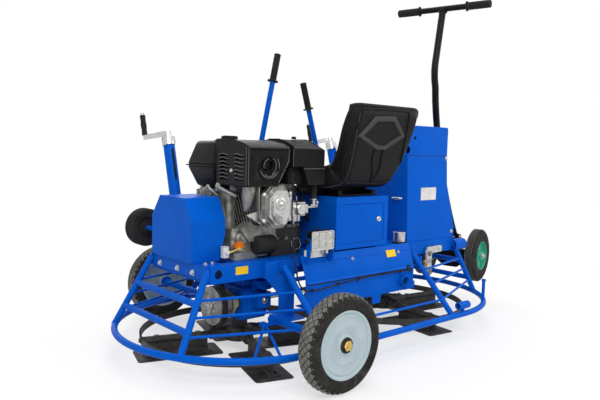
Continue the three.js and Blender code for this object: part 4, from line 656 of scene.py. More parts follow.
def ringPath():
    angles = np.linspace(-math.pi / 2, math.pi / 2, ring["steps"])
    end = np.stack([ring["centre"] + ring["radius"] * np.cos(angles), ring["radius"] * np.sin(angles)], 1)
    straight = np.linspace(ring["centre"], -ring["centre"], ring["straight"] + 2)[1:-1]
    side = np.stack([straight, np.full(ring["straight"], ring["radius"])], 1)
    flat = np.concatenate([end, side, -end, -side])
    return np.c_[flat, np.full(len(flat), ring["height"])]


def makeRing():
    s, p = socketTube, ringPost
    middle = s["x"] + s["length"] / 2
    forms = [tube(ringPath(), ring["tube"], 20, closed=True),
             pipe((s["x"], s["y"], s["z"]), (s["x"] + s["length"], s["y"], s["z"]), s["radius"], s["bore"]),
             rod((middle, s["y"], ring["height"]), (middle, s["y"], s["z"] - s["bore"] - 2), s["stem"]),
             rod((p["x"], p["y"], ring["height"] - 6), (p["x"], p["y"], p["top"]), p["radius"]),
             disc(p["radius"] + 2.5, p["cap"], 2, (p["x"], p["y"], p["top"] - p["cap"] / 2), upward, 24)]
    makePiece("guardRing", forms, "bluePaint", nodes=["guard_ring"])


# guards: sloping uprights with rungs at the ends, thin rods along the sides
upright = {"radius": 13, "top": (747, 207, 390), "foot": (890, 262, 107)}
rungHeights = (276, 184)
sidePosts = {"left": ((418, 246, 376), (397, 497, 107)), "right": ((362, 262, 357), (365, 498, 107))}
guardRod = {"heights": (288, 232, 170), "radius": 5.5, "weld": 7.5}
postPad = {"from": 211.3, "inset": 7, "half": 11, "tall": 17}
endBar = {"inner": 739, "wall": 9, "low": 350, "high": 400, "halfWidth": 214}
stubTube = {"y": 215, "z": 362, "radius": 29, "bore": 25, "from": 742, "to": 836}


# the point of a sloping line at a height
def atHeight(top, foot, z):
    top, foot = np.asarray(top, float), np.asarray(foot, float)
    return top + (foot - top) * ((top[2] - z) / (top[2] - foot[2]))


def makeGuard(side, sign):
    forms = []
    top, foot = sidePosts[side]
    r, thin = upright["radius"], guardRod["radius"]

    def onUpright(z, s):
        return atHeight(upright["top"], upright["foot"], z) * (sign, s, 1)

    def onPost(z, s):
        return atHeight(top, foot, z) * (sign, s, 1)

    for s in (-1, 1):
        forms.append(rod(onUpright(upright["top"][2], s), onUpright(ring["height"], s), r, 20))
        forms.append(rod(onPost(top[2], s), onPost(foot[2], s), r, 20))
        for z in guardRod["heights"]:
            a, b = onUpright(z, s), onPost(z, s)
            forms.append(rod(a, b, thin, 12))
            w = guardRod["weld"]
            for p in (a, b):
                forms.append(turned([(0, -w), (5, -6), (w, 0), (5, 6), (0, w)], p, upward, 12))
        x = sign * top[0] - postPad["inset"]
        y0, y1 = sorted((s * postPad["from"], s * top[1]))
        half, tall = postPad["half"], postPad["tall"]
        forms.append(block(x - half, x + half, y0, y1, top[2] - tall, top[2] + tall))
    for z in rungHeights:
        forms.append(rod(onUpright(z, -1), onUpright(z, 1), r, 20))
    x0, x1 = sorted((sign * (endBar["inner"] + 0.3), sign * (endBar["inner"] + endBar["wall"])))
    forms.append(block(x0, x1, -endBar["halfWidth"], endBar["halfWidth"], endBar["low"], endBar["high"]))
    if side == "right":
        t, z = stubTube, guardRod["heights"][-1]
        for s in (-1, 1):
            y = s * t["y"]
            forms.append(pipe((t["from"], y, t["z"]), (t["to"], y, t["z"]), t["radius"], t["bore"], 32))
            start = atHeight(*sidePosts["left"], z) * (-1, s, 1) + (12, 0, 0)
            forms.append(rod(start, onPost(z, s), thin, 12))
    makePiece("guard" + side.capitalize(), forms, "bluePaint", nodes=["guard_" + side], bevel=1.2)


makeRing()
makeGuard("left", -1)
makeGuard("right", 1)

# the belt guard's rear corner stands out nearly square, and draws in towards the foot
guardCorner = {"rear": -50, "left": -665, "right": -640, "out": 43, "height": 500, "draw": 0.26}


def squareCorner(x, y, z):
    c = guardCorner
    if y > c["rear"] or not c["left"] < x < c["right"]:
        return 0
    return c["out"] - c["draw"] * max(0, c["height"] - z)


# sheet work taken from the solids, with rounded edges
fromSolid("deck_frame", "deckFrame", "bluePaint", bevel=2.2)
fromSolid("rear_panel", "rearPanel", "bluePaint", bevel=1.2)
fromSolid("belt_guard", "beltGuard", "bluePaint", bevel=5, segments=3, cutHeight=guardCorner["height"],
          reshape=squareCorner)
fromSolid("seat_box", "seatBox", "bluePaint", bevel=2.6, segments=3)
fromSolid("box_door", "boxDoor", "bluePaint", "door", bevel=1.4)
fromSolid("right_tower", "rightTower", "bluePaint", bevel=4, segments=3)
for side in ("near", "far"):
    fromSolid("wheel_leg_" + side, "wheelLeg" + side.capitalize(), "bluePaint", bevel=1.3)
for side in ("left", "right"):
    fromSolid("gearbox_" + side, "gearbox" + side.capitalize(), "bluePaint", bevel=5, segments=3)
print("frame and sheet work made")

# bolts of the frame, in their own pieces by finish: rows of (places, axis, size)
endFace = endBar["inner"] + endBar["wall"]
brightRows = [
    ([(-endFace, y, 366) for y in (-108, 3, 139)], left, 9),
    ([(x, -277, 377) for x in (-66, 235)], (0, -1, -0.41), 7),
    ([(-438, -152, 226)], rear, 11),
    ([(x, -205, z) for x, z in ((673, 809), (742, 432))], rear, 7),
    ([(s * x, s * 150, 400) for s in (-1, 1) for x in (720, 690)], upward, 8),
]
paintedRows = [([(endFace, y, 366) for y in (-130, 130)], alongX, 9)]
for s in (-1, 1):
    paintedRows += [([(x, s * 236, 374) for x in (-425, -340)], (0, s, 0), 9),
                    ([(s * x, y, 275) for x in (412, 498) for y in (-88, 38)], upward, 7)]
    for z in (162, 254):
        for y in (-98, -22, 46):
            paintedRows += [([(s * x, y, z)], (s * way, 0, 0), 6) for x, way in ((395, -1), (515, 1))]


def boltsOf(rows, washer=True):
    return [part for places, axis, size in rows for p in places for part in bolt(p, axis, size, washer)]


def makeFrameBolts():
    makePiece("frameBolts", boltsOf(paintedRows), "bluePaint", sharp=30)
    plates = [block(-474, -300, -118, -114, 262, 352), block(-468, -404, -152, -112, 196, 256),
              prism("xz", [(-470, 306), (-404, 306), (-418, 272), (-456, 272)], -164, -116)]
    makePiece("gearPlates", plates, "bluePaint", bevel=1.5)
    makePiece("brightBolts", boltsOf(brightRows), "brightSteel", sharp=30)


makeFrameBolts()

# small parts along the rear panel
panelFace = -300  # y of the panel's outer sheet
panelSocket = {"x": 244, "z": 249, "radius": 25, "bore": 20.5}
seamEnds = (-340, 322)
grommetAt = (284, panelFace, 307)
columnTop = {"x": 396, "y": -140, "z": 601}


def makePanelParts():
    plates = [block(-625, -567, -212.6, -211.2, 360, 390),
              prism("yz", [(-283.4, 362), (-284.6, 362), (-272.3, 392), (-271.1, 392)], 155, 216)]
    makePiece("yellowPlates", plates, "yellowPlate", bevel=0.5)
    s = panelSocket
    # a dark disc inside the socket: painted shade in its bore
    inside = turned([(0, 0), (20.4, 0), (20.4, 1), (0, 1)], (s["x"], -303, s["z"]), rear, 32)
    makePiece("socketShade", [inside], "blackRubber")
    forms = [pipe((s["x"], -297, s["z"]), (s["x"], -324, s["z"]), s["radius"], s["bore"]),
             prism("xz", [(256, 204.5), (331, 204.5), (331, 238), (300, 238)], -303.5, -300.2)]
    makePiece("panelSocket", forms, "bluePaint", bevel=0.8)
    flap = prism("xz", [(42, 204), (103, 204), (96, 168), (50, 168)], panelFace, panelFace + 3)
    makePiece("panelFlap", [flap], "bluePaint", bevel=0.8)
    # the open seam along the panel, as a narrow lipped strip with a dark gap
    low, high = seamEnds
    lip = [(-300.5, 301), (-303.2, 301), (-303.2, 304), (-298.5, 312), (-297.5, 311)]
    makePiece("panelLip", [prism("yz", lip, low, high)], "bluePaint", bevel=0.5)
    gap = [(-300.2, 296.5), (-301.2, 296.5), (-301.2, 300.5), (-300.2, 300.5)]
    makePiece("panelSeam", [prism("yz", gap, low + 2, high - 2)], "blackRubber")
    grommet = [(5, 0), (10, 0), (12, 2), (10, 5), (6, 5), (5, 3)]
    makePiece("panelGrommet", [turned(grommet, grommetAt, rear, 24, closed=True)], "blackRubber")
    x, y, z = columnTop["x"], columnTop["y"], columnTop["z"]
    cap = [disc(38, 9, 2, (x, y, z + 7), upward, 48), disc(22, 8, 2, (x, y, z), upward, 40)]
    makePiece("columnCap", cap, "brightSteel", bevel=0.8)
    makePiece("blueColumn", [disc(23, 196, 2, (420, -136, 406), upward, 44)], "bluePaint")


makePanelParts()

# tower fittings
towerRear = -205
barePlate = {"left": 479, "right": 600, "low": 602, "high": 664, "inset": 5}
towerKnob = {"place": (681.5, -150, 888), "sides": 96, "radius": 15.6, "wave": 1.6, "lobes": 8}
knobRings = ((1, 0.0), (1, 0.9), (2.4, 1.0), (18, 1.0), (20.8, 0.94), (22, 0.8), (22, 0.0))
linkage = {"y": -226, "pivot": (624, 353), "upper": (530, 342, 21), "lower": (536, 243, 17)}
springCan = {"x": 345, "y": -190, "base": 401}


# rings of points round the X or Z axis through a place, closed to a form; rows hold (along, radii)
def ringStack(place, axis, rows, angles):
    x, y, z = place
    rings = []
    for along, r in rows:
        c, s, flat = r * np.cos(angles), r * np.sin(angles), np.full(len(angles), float(along))
        rings.append(np.stack([x + flat, y + c, z + s] if axis == "x" else [x + c, y + s, z + flat], 1))
    return np.concatenate(rings), gridFaces(len(rings), len(angles), wrapColumns=True)


def makeTowerPlate():
    p = barePlate
    plate = block(p["left"], p["right"], towerRear - 1.6, towerRear - 0.1, p["low"], p["high"])
    makePiece("barePlate", [plate], "whitePlastic", bevel=0.6)
    inset = p["inset"]
    rivets = [turned([(0, 0), (2.6, 0), (2.2, 1), (0, 1.6)], (x, towerRear - 1.5, z), rear, 14)
              for z in (p["low"] + inset, p["high"] - inset) for x in (p["left"] + inset, p["right"] - inset)]
    makePiece("plateRivets", rivets, "brightSteel")
    seam = [(369, 819), (684, 819), (684, 821.4), (369, 821.4)]
    makePiece("towerSeam", [prism("xz", seam, towerRear - 0.6, towerRear - 0.05)], "blackRubber")


def makeTowerKnob():
    k = towerKnob
    x, y, z = k["place"]
    angles = np.linspace(0, 2 * math.pi, k["sides"], endpoint=False)
    radius = k["radius"] + k["wave"] * np.cos(angles * k["lobes"])
    knob = ringStack(k["place"], "x", [(h, radius * scale) for h, scale in knobRings], angles)
    makePiece("towerKnob", [knob, rod((x - 16, y, z), (x + 2, y, z), 5.9)], "blackPlastic", "tower_knob",
              nodes=["tower_knob"])


# linkage seen under the tower: plate, rod, brass fitting and spring canister
def makeLinkage():
    y = linkage["y"]
    px, pz = linkage["pivot"]
    rim = [p for (x, z, r), start in ((linkage["upper"], 0), (linkage["lower"], 180))
           for p in arc(x, z, r, start, start + 180, 15)]
    plate = [(532, 336), (641, 338), (645, 345), (645, 362), (640, 368), (532, 366)]
    forms = [prism("xz", rim, y - 6, y + 2), prism("xz", plate, y + 4, y + 10),
             rod((px, y, pz), (px, y + 26, pz), 6), rod((530, -219, 300), (552, -219, 262), 4)]
    makePiece("bellCrank", forms, "brightSteel", bevel=1.2)
    makePiece("leverBolts", boltsOf([([(536, -231, 338), (538, -231, 243)], rear, 11)]), "castMetal")
    fitting = [disc(9, 14, 2, (508, y, 290), upward, 20), rod((508, y, 270), (508, y, 310), 5)]
    makePiece("brassFitting", fitting, "brass")
    # a dark cone on the plate where its hole is: painted shade
    hole = turned([(0, 0), (6, 0), (0, 0.8)], (px + 2, y + 3.6, pz), rear, 20)
    makePiece("plateHoleShade", [hole], "blackRubber")
    c = (springCan["x"], springCan["y"])
    base = springCan["base"]
    makePiece("canFoot", [disc(36, 8, 2, (*c, base), upward, 40)], "blackRubber")
    can = [disc(29, 50, 2.5, (*c, base + 3), upward, 40), disc(31, 5, 1.5, (*c, base + 49), upward, 40)]
    makePiece("springCan", can, "brightSteel", bevel=0.6)
    short = [pipe((462, y, 282), (462, y, 330), 13, 10), block(455, 469, -216, towerRear, 290, 322)]
    makePiece("shortTube", short, "bluePaint")


makeTowerPlate()
makeTowerKnob()
makeLinkage()

# crank posts, cranks and grips
post = {"radius": 25, "y": 224, "topY": 352, "foot": 400, "top": 878, "sink": 50, "x": {"left": -600, "right": 392},
        "turn": 130}
postPlate = {"half": 25, "from": 211.4, "to": 217.2, "low": 336, "high": 394}
collar = {"drop": 38, "bolts": 3, "boltDrop": 20, "radius": 28}
collarOutline = [(11.4, 0), (12.5, -1), (27.5, -1), (29, 0.5), (29, 34), (27, 37.5), (12.5, 37.5), (11.4, 36)]
slot = {"low": 190, "high": 62, "half": 5, "from": 24.2, "to": 25.4}
crank = {"reach": 105, "hub": 13, "end": 8, "low": 8, "wall": 18}
crankGrip = {"length": 92, "stations": 25, "radius": 11.3, "swell": 1.6, "bore": 6.3, "from": 26.3}


def postFrame(side):
    foot = np.array([post["x"][side], post["y"], post["foot"]], float)
    top = np.array([post["x"][side], post["topY"], post["top"]], float)
    axis = unit(top - foot)
    across = np.cross(axis, alongX)
    angle = math.radians(post["turn"])
    out = math.cos(angle) * np.array(alongX, float) + math.sin(angle) * across
    return foot, top, axis, out


# an arc of points in the plane of two directions
def arcIn(centre, first, second, start, end, count=14):
    return [centre + math.cos(t) * first + math.sin(t) * second for t in np.linspace(start, end, count)]


def makePost(side):
    foot, top, axis, out = postFrame(side)
    low = foot - axis * post["sink"]
    r, length = post["radius"], np.linalg.norm(top - low) - 40
    x = post["x"][side]
    p = postPlate
    forms = [turned([(0, 0), (r, 0), (r, 8), (r, length), (0, length)], low, axis, 40),
             block(x - p["half"], x + p["half"], p["from"], p["to"], p["low"], p["high"])]
    for dx in (-22.4, 22.4):
        brace = [(212, 338), (246, 400), (240, 404), (212, 396)]
        forms.append(prism("yz", brace, x + dx - 3, x + dx + 3))
    makePiece("crankPost" + side.capitalize(), forms, "bluePaint", nodes=["crank_post_" + side], bevel=1)
    forms = [turned(collarOutline, top - axis * collar["drop"], axis, 40, closed=True)]
    for k in range(collar["bolts"]):
        around = turnAbout(axis, 360 / collar["bolts"] * k) @ unit(np.cross(axis, out))
        forms += bolt(top - axis * collar["boltDrop"] + around * collar["radius"], around, 4, washer=False)
    makePiece("postCollar" + side.capitalize(), forms, "brightSteel")
    # scale slot down the post's back, a dark strip laid on the post as painted shade
    back = -unit(np.cross(axis, alongX))
    if back[1] > 0:
        back = -back
    up, across = axis * slot["half"], np.array(alongX, float) * slot["half"]
    ends = np.array(arcIn(top - axis * slot["high"], across, up, 0, math.pi, 12)
                    + arcIn(top - axis * slot["low"], across, up, math.pi, 2 * math.pi, 12))
    makePiece("postSlotShade" + side.capitalize(), [joined(ends + back * slot["from"], ends + back * slot["to"])],
              "blackPlastic")


def makeCrank(side):
    _, top, axis, out = postFrame(side)
    reach, low = crank["reach"], crank["low"]

    def at(up, along):
        return top + axis * up + out * along

    # arm: a flat strip with round ends
    across = np.cross(axis, out)
    quarter = math.pi / 2
    rim = np.array(arcIn(at(low, reach), crank["end"] * out, crank["end"] * across, -quarter, quarter)
                   + arcIn(at(low, 0), crank["hub"] * out, crank["hub"] * across, quarter, 3 * quarter))
    forms = [rod(at(-30, 0), at(low, 0), 11, 28), disc(15, 25.7, 1.2, at(0.3, 0), axis, 32),
             joined(rim, rim + axis * crank["wall"]),
             rod(at(22, reach), at(124, reach), 6, 20), disc(9, 5, 1.2, at(123, reach), axis, 24),
             turned([(0, 0), (7, 0), (7, 3), (4, 6), (0, 6)], at(26, 0), axis, 6)]
    makePiece("crank" + side.capitalize(), forms, "brightSteel", "crank_" + side,
              nodes=["crank_" + side], bevel=0.7)
    # grip: swells near both ends
    g = crankGrip
    length, bore = g["length"], g["bore"]
    stations = np.linspace(0, 1, g["stations"])
    swell = np.sin(stations * 2 * math.pi - math.pi / 2) ** 2 * (1 - (stations - 0.5) ** 2)
    radius = g["radius"] + g["swell"] * swell
    outline = [(bore, 0.8), (9.5, 0)] + [(r, 1.5 + t * (length - 3)) for r, t in zip(radius, stations)]
    outline += [(9.5, length), (bore, length - 0.8)]
    makePiece("crankGrip" + side.capitalize(), [turned(outline, at(g["from"], reach), axis, 32, closed=True)],
              "blackRubber", "crank_grip_" + side, nodes=["crank_grip_" + side])


# steering levers: x of the foot, x and height of the top
leverPlaces = {"left": (-264, -86, 1286), "right": (305, 77, 1165)}
lever = {"y": 232, "z": 448, "radius": 12.5, "grip": 130, "boss": 20.4, "pin": 33, "nut": 29.3}
leverFlange = [(12.6, -6), (16, -6), (26, -4.5), (26.4, -2), (25, 0), (16, 1), (12.6, 1)]
gripRibs = {"count": 11, "from": 8, "plain": 22, "depth": 1.3}


def gripOutline(length, radius):
    outline = [(0, 0), (radius * 0.9, 0), (radius, 2)]
    count, inner = gripRibs["count"], radius - gripRibs["depth"]
    step = (length - gripRibs["plain"]) / count
    for k in range(count):
        z = gripRibs["from"] + (length - gripRibs["plain"]) * k / count
        outline += [(radius, z), (radius, z + step * 0.5), (inner, z + step * 0.62), (inner, z + step * 0.9)]
    return outline + [(radius, length - 10), (radius, length - 4), (radius * 0.85, length - 1),
                      (radius * 0.5, length), (0, length)]


def makeLever(side):
    low, high, top = leverPlaces[side]
    y, z, length = lever["y"], lever["z"], lever["grip"]
    a, b = np.array([low, y, float(z)]), np.array([high, y, float(top)])
    axis = unit(b - a)
    gripFrom = b - axis * length
    body = "lever_" + side
    forms = [rod(a, gripFrom + axis * 4, lever["radius"], 24),
             rod((low - lever["boss"], y, z), (low + lever["boss"], y, z), 17, 32)]
    makePiece("lever" + side.capitalize(), forms, "bluePaint", body, nodes=[body], bevel=0.8)
    forms = [turned(gripOutline(length, 16), gripFrom, axis, 28),
             turned(leverFlange, gripFrom, axis, 36, closed=True)]
    makePiece("leverGrip" + side.capitalize(), forms, "blackRubber", body)
    pin = [rod((low - lever["pin"], y, z), (low + lever["pin"], y, z), 6.9, 20)]
    for way in (1, -1):
        pin += bolt((low + way * lever["nut"], y, z), (way, 0, 0), 9)
    makePiece("leverPin" + side.capitalize(), pin, "brightSteel", body)


for side in ("left", "right"):
    makePost(side)
    makeCrank(side)
    makeLever(side)
print("posts, cranks and levers made")

# door lock and hinges
lock = {"x": 112, "y": -262.3, "z": 537}
doorHinge = {"x": -138.5, "y": -264.6, "radius": 2.6, "half": 18, "heights": (470, 579)}


def makeLock():
    x, y, z = lock["x"], lock["y"], lock["z"]
    rose = [(0, 0), (13, 0), (13, 1.5), (10.5, 4.6), (7, 5), (6.2, 4), (0, 4)]
    forms = [turned(rose, (x, y, z), rear, 40), rod((x, y - 1, z), (x, y + 12, z), 5.9)]
    makePiece("doorLock", forms, "brightSteel", "lock", nodes=["door_lock"])
    # a dark strip on the rose for the keyway: painted shade
    makePiece("keywayShade", [block(x - 1.2, x + 1.2, y - 4.6, y - 3.9, z - 3.5, z + 3.5)], "blackPlastic", "lock")
    h = doorHinge
    barrels = [rod((h["x"], h["y"], z - h["half"]), (h["x"], h["y"], z + h["half"]), h["radius"])
               for z in h["heights"]]
    makePiece("doorHinges", barrels, "bluePaint", bevel=0.5)


makeLock()

# seat: shell, cushion and slide
seat = {"x": 6, "rows": 72, "columns": 41, "widen": 3, "rim": 9.5}
# inner line of the shell in (y, z), from the front lip over the base and up the back
seatLine = [(158, 716), (140, 716), (100, 704), (40, 695), (-60, 688), (-150, 686), (-226, 690), (-268, 704),
            (-300, 740), (-330, 800), (-352, 856), (-370, 910), (-384, 960), (-390, 996), (-384, 1016)]
# half the width: full on the base, narrow low down on the back and wider towards the top
seatWidth = {"base": 194, "backFrom": -240, "low": 158, "more": 45, "lowHeight": 690, "rise": 240}
wingStart, wingPower = 0.8, 1.6  # share of the half width where the wings start, and how they curve up
outerShare = 0.96  # the wings' height on the shell's outer side
# relief on the rear of the back, as (x, z): a six-sided band, two ribs and a bead round it
hexagon = [(-80, 980), (44, 985), (131, 906), (22, 845), (-35, 846), (-160, 897)]
hexagonInner = [(-62, 957), (33, 961), (92, 911), (14, 866), (-25, 867), (-124, 903)]
ribLines = ([(-34, 850), (-36, 820), (-26, 790), (-4, 756), (16, 716)],
            [(16, 850), (18, 820), (30, 782), (32, 748), (22, 712)])
frameLine = [(-150, 1001), (-168, 938), (-172, 878), (-168, 818), (-158, 769), (-140, 722), (-60, 714),
             (110, 714), (150, 724), (160, 769), (150, 822), (140, 893), (132, 951), (130, 1004)]
topLine = [(-150, 1001), (-60, 1004), (40, 1006), (130, 1004)]
bandHeight, bandSlope = 6, 0.22
wingSeams = ((3, 26, 69), (-4, 40, 69))  # column, first row and last row
seatRails = {"x": 12, "apart": 105, "half": 9.5, "rear": -172, "front": 57, "low": 665.7, "high": 683}


def seatHalf(y, z):
    w = seatWidth
    if y > w["backFrom"]:
        return w["base"]
    return w["low"] + w["more"] * min(1, max(0, (z - w["lowHeight"]) / w["rise"]))


# a cubic through the points, by distance along them
def smoothLine(points, count):
    points = np.asarray(points, float)
    t = np.r_[0, np.cumsum(np.linalg.norm(np.diff(points, axis=0), axis=1))]
    u = np.linspace(0, t[-1], count)
    i = np.clip(np.searchsorted(t, u, side="right") - 1, 0, len(t) - 2)
    h = t[i + 1] - t[i]
    s = (u - t[i]) / h
    out = []
    for p in points.T:
        slope = np.gradient(p, t)
        out.append((2 * s**3 - 3 * s**2 + 1) * p[i] + (s**3 - 2 * s**2 + s) * h * slope[i]
                   + (-2 * s**3 + 3 * s**2) * p[i + 1] + (s**3 - s**2) * h * slope[i + 1])
    return np.stack(out, 1)


# a line's unit normals, turned so that they look up at the given row
def normalsOf(line, row):
    tangent = np.gradient(line, axis=0)
    tangent /= np.linalg.norm(tangent, axis=1)[:, None]
    normals = np.stack([-tangent[:, 1], tangent[:, 0]], 1)
    return normals if normals[row, 1] > 0 else -normals


def shellLine():
    line = smoothLine(seatLine, seat["rows"])
    half = np.array([seatHalf(y, z) for y, z in line])
    half = np.convolve(np.pad(half, 4, mode="edge"), np.ones(9) / 9, mode="valid")
    return line, normalsOf(line, 20), half


def makeShell(line, inward, half):
    rows, columns = seat["rows"], seat["columns"]
    u, share = np.linspace(-1, 1, columns), np.linspace(0, 1, rows)
    # side wings stand up from the base and forward from the back, more so at the bend
    wing = 46 + 36 * np.exp(-((share - 0.52) / 0.2) ** 2) - 30 * np.clip((share - 0.8) / 0.2, 0, 1) ** 2
    rise = np.clip((np.abs(u) - wingStart) / (1 - wingStart), 0, 1) ** wingPower
    lift = wing[:, None] * rise[None, :]
    wall = np.array([9.0 + 4 * math.sin(math.pi * t) for t in share])

    def side(x, out):
        return np.stack([x, line[:, 0:1] + inward[:, 0:1] * out, line[:, 1:2] + inward[:, 1:2] * out], 2)

    inner = side(seat["x"] + half[:, None] * (u * (1 - 0.02 * rise))[None, :], lift)
    outer = side(seat["x"] + (half[:, None] + seat["widen"]) * u[None, :], lift * outerShare - wall[:, None])
    ids = edgeOf(rows, columns)
    middle = (inner.reshape(-1, 3) * 0.5 + outer.reshape(-1, 3) * 0.5)[ids]
    forms = [sheetBetween(inner, outer), tube(middle, seat["rim"], 12, closed=True)]

    # the point just behind the shell at a place seen from the rear
    def behind(x, z):
        rising = np.arange(34, int(np.argmax(line[:, 1])))
        k = float(np.interp(z, line[rising, 1], rising))
        y, h, ny, nz, thick, w, hf = [np.interp(k, np.arange(rows), v)
                                      for v in (*line.T, *inward.T, wall, wing, half)]
        aside = (abs(x - seat["x"]) / (hf + seat["widen"]) - wingStart) / (1 - wingStart)
        out = thick + 1 - outerShare * w * min(1, max(0, aside)) ** wingPower
        return np.array([x, y - ny * out, h - nz * out])

    # a raised band between two outlines, with sloping sides
    def band(outline, inside):
        outline, inside = np.array(outline, float), np.array(inside, float)
        strips = []
        for share, height in ((0, -3), (bandSlope, bandHeight), (1 - bandSlope, bandHeight), (1, -3)):
            corners = outline + (inside - outline) * share
            strip = []
            for a, b in zip(corners, np.roll(corners, -1, 0)):
                strip += [behind(*(a + (b - a) * t)) - (0, height * 0.93, height * 0.25)
                          for t in np.linspace(0, 1, 9)[:-1]]
            strips.append(strip)
        return np.array(strips).reshape(-1, 3), gridFaces(4, len(strips[0]), True, True)

    def bead(points, count, radius, sides):
        return tube(np.array([behind(*p) for p in smoothLine(points, count)]), radius, sides)

    forms += [bead(rib, 24, 4.5, 12) for rib in ribLines]
    forms.append(bead(frameLine, 90, 5, 10))
    # the six-sided band and the wing seams are raised, and drawn in a lighter black as painted highlight
    relief = [band(hexagon, hexagonInner)]
    for column, low, high in wingSeams:
        seam = outer[low:high, column] - inward[low:high][:, [0, 0, 1]] * (0, 1.5, 1.5)
        relief.append(tube(seam, 2.0, 8))
    makePiece("seatReliefHighlight", relief, "shellHighlight", "seat", sharp=30)
    forms.append(bead(topLine, 30, 5, 10))
    r = seatRails
    for s in (-1, 1):
        x = r["x"] + s * r["apart"]
        forms.append(block(x - r["half"], x + r["half"], r["rear"], r["front"], r["low"], r["high"]))
    makePiece("seatShell", forms, "blackPlastic", "seat", nodes=["seat_shell"], sharp=60)


# cushion: follows the shell with a crown, panels split by seams, drawn-in edges
cushion = {"rows": 120, "columns": 61, "from": 0.02, "to": 0.95, "inset": 22, "fill": 0.85, "least": 0.5}
crossSeams = {"at": (0.16, 0.3, 0.44, 0.6, 0.72, 0.84), "depth": 5.5, "width": 0.006, "reach": 0.62}
sideSeams = {"at": 0.64, "depth": 6, "width": 0.022}
wrinkles = {"seed": 4, "count": 6, "height": 0.35, "low": (20, 3, 0), "high": (60, 14, 6)}


def makeCushion(line, half):
    rows, columns = cushion["rows"], cushion["columns"]
    share = np.linspace(0, 1, len(line))
    part = np.linspace(cushion["from"], cushion["to"], 60)
    keep = smoothLine(np.stack([np.interp(part, share, c) for c in line.T], 1), rows)
    up = normalsOf(keep, 30)
    s, v = np.linspace(0, 1, rows), np.linspace(-1, 1, columns)
    width = np.interp(np.linspace(cushion["from"], cushion["to"], rows), share, half) - cushion["inset"]
    edgeDrop = 1 - np.abs(v) ** 6
    endDrop = np.clip(np.minimum(s, 1 - s) / 0.05, 0, 1) ** 0.5
    bulge = 0.86 + 0.14 * np.cos(v * math.pi * 0.5) ** 2
    thick = 26 + 14 * np.exp(-((s - 0.2) / 0.28) ** 2) + 10 * np.exp(-((s - 0.85) / 0.1) ** 2)
    height = thick[:, None] * (edgeDrop * bulge)[None, :] * endDrop[:, None]
    c = crossSeams
    for at in c["at"]:
        groove = c["depth"] * np.exp(-((s - at) / c["width"]) ** 2)
        height -= groove[:, None] * (np.abs(v) < c["reach"])[None, :]
    for side in (-1, 1):
        groove = sideSeams["depth"] * np.exp(-((v - side * sideSeams["at"]) / sideSeams["width"]) ** 2)
        height -= groove[None, :] * endDrop[:, None]
    waves = np.random.default_rng(wrinkles["seed"]).uniform(wrinkles["low"], wrinkles["high"],
                                                            (wrinkles["count"], 3))
    height += wrinkles["height"] * sum(np.sin(s[:, None] * a + v[None, :] * b + c) for a, b, c in waves)
    height = np.maximum(height, cushion["least"])
    xs = seat["x"] + width[:, None] * v[None, :]

    def layer(h):
        return np.stack([xs, keep[:, 0:1] + up[:, 0:1] * h, keep[:, 1:2] + up[:, 1:2] * h], 2)

    form = sheetBetween(layer(height), layer(np.full_like(height, 0.3)))
    piece = makePiece("seatCushion", [form], "blackVinyl", "seat", nodes=["seat_cushion"], sharp=75)


seatCurve, seatInward, seatHalves = shellLine()
makeShell(seatCurve, seatInward, seatHalves)
makeCushion(seatCurve, seatHalves)
fromSolid("seat_slide", "seatSlide", "blackPaint", bevel=1.2)
print("seat made")

# engine block: base, crankcase, cylinder side, webs, stubs and cast pads
engine = {"left": -585, "right": -250, "base": 404, "foot": 400.3, "back": -62, "front": 160, "top": 668}
crankLine = (37, 537)  # y and z of the crankshaft
caseBolts = {"from": -575, "to": -262, "count": 7, "y": -134}
boreCircle = {"x": -587, "radius": 62, "count": 6}
stubOutline = [(0, 0), (25, 0), (26, 14), (24, 40), (17, 78), (10, 100), (0, 104)]
flangeOutline = [(12.7, 0), (44, 0), (46, 2), (46, 12), (12.7, 12)]
tabs = ((-49, 684), (24, 676))  # y and z of the bracket tabs' bolts
# lobes cast on the crankcase: radius, length, cut edge, place, sides
caseLobes = [(34, 30, 8, (-330, -118, 470), 40), (46, 18, 8, (-400, -116, 476), 44),
             (26, 26, 6, (-545, -116, 482), 36)]


# places on a circle about the crankshaft's or a shaft's line
def aroundLine(centre, radius, count, first=0):
    angles = [math.radians(360 / count * k + first) for k in range(count)]
    return [(centre[0] + radius * math.cos(a), centre[1] + radius * math.sin(a)) for a in angles]


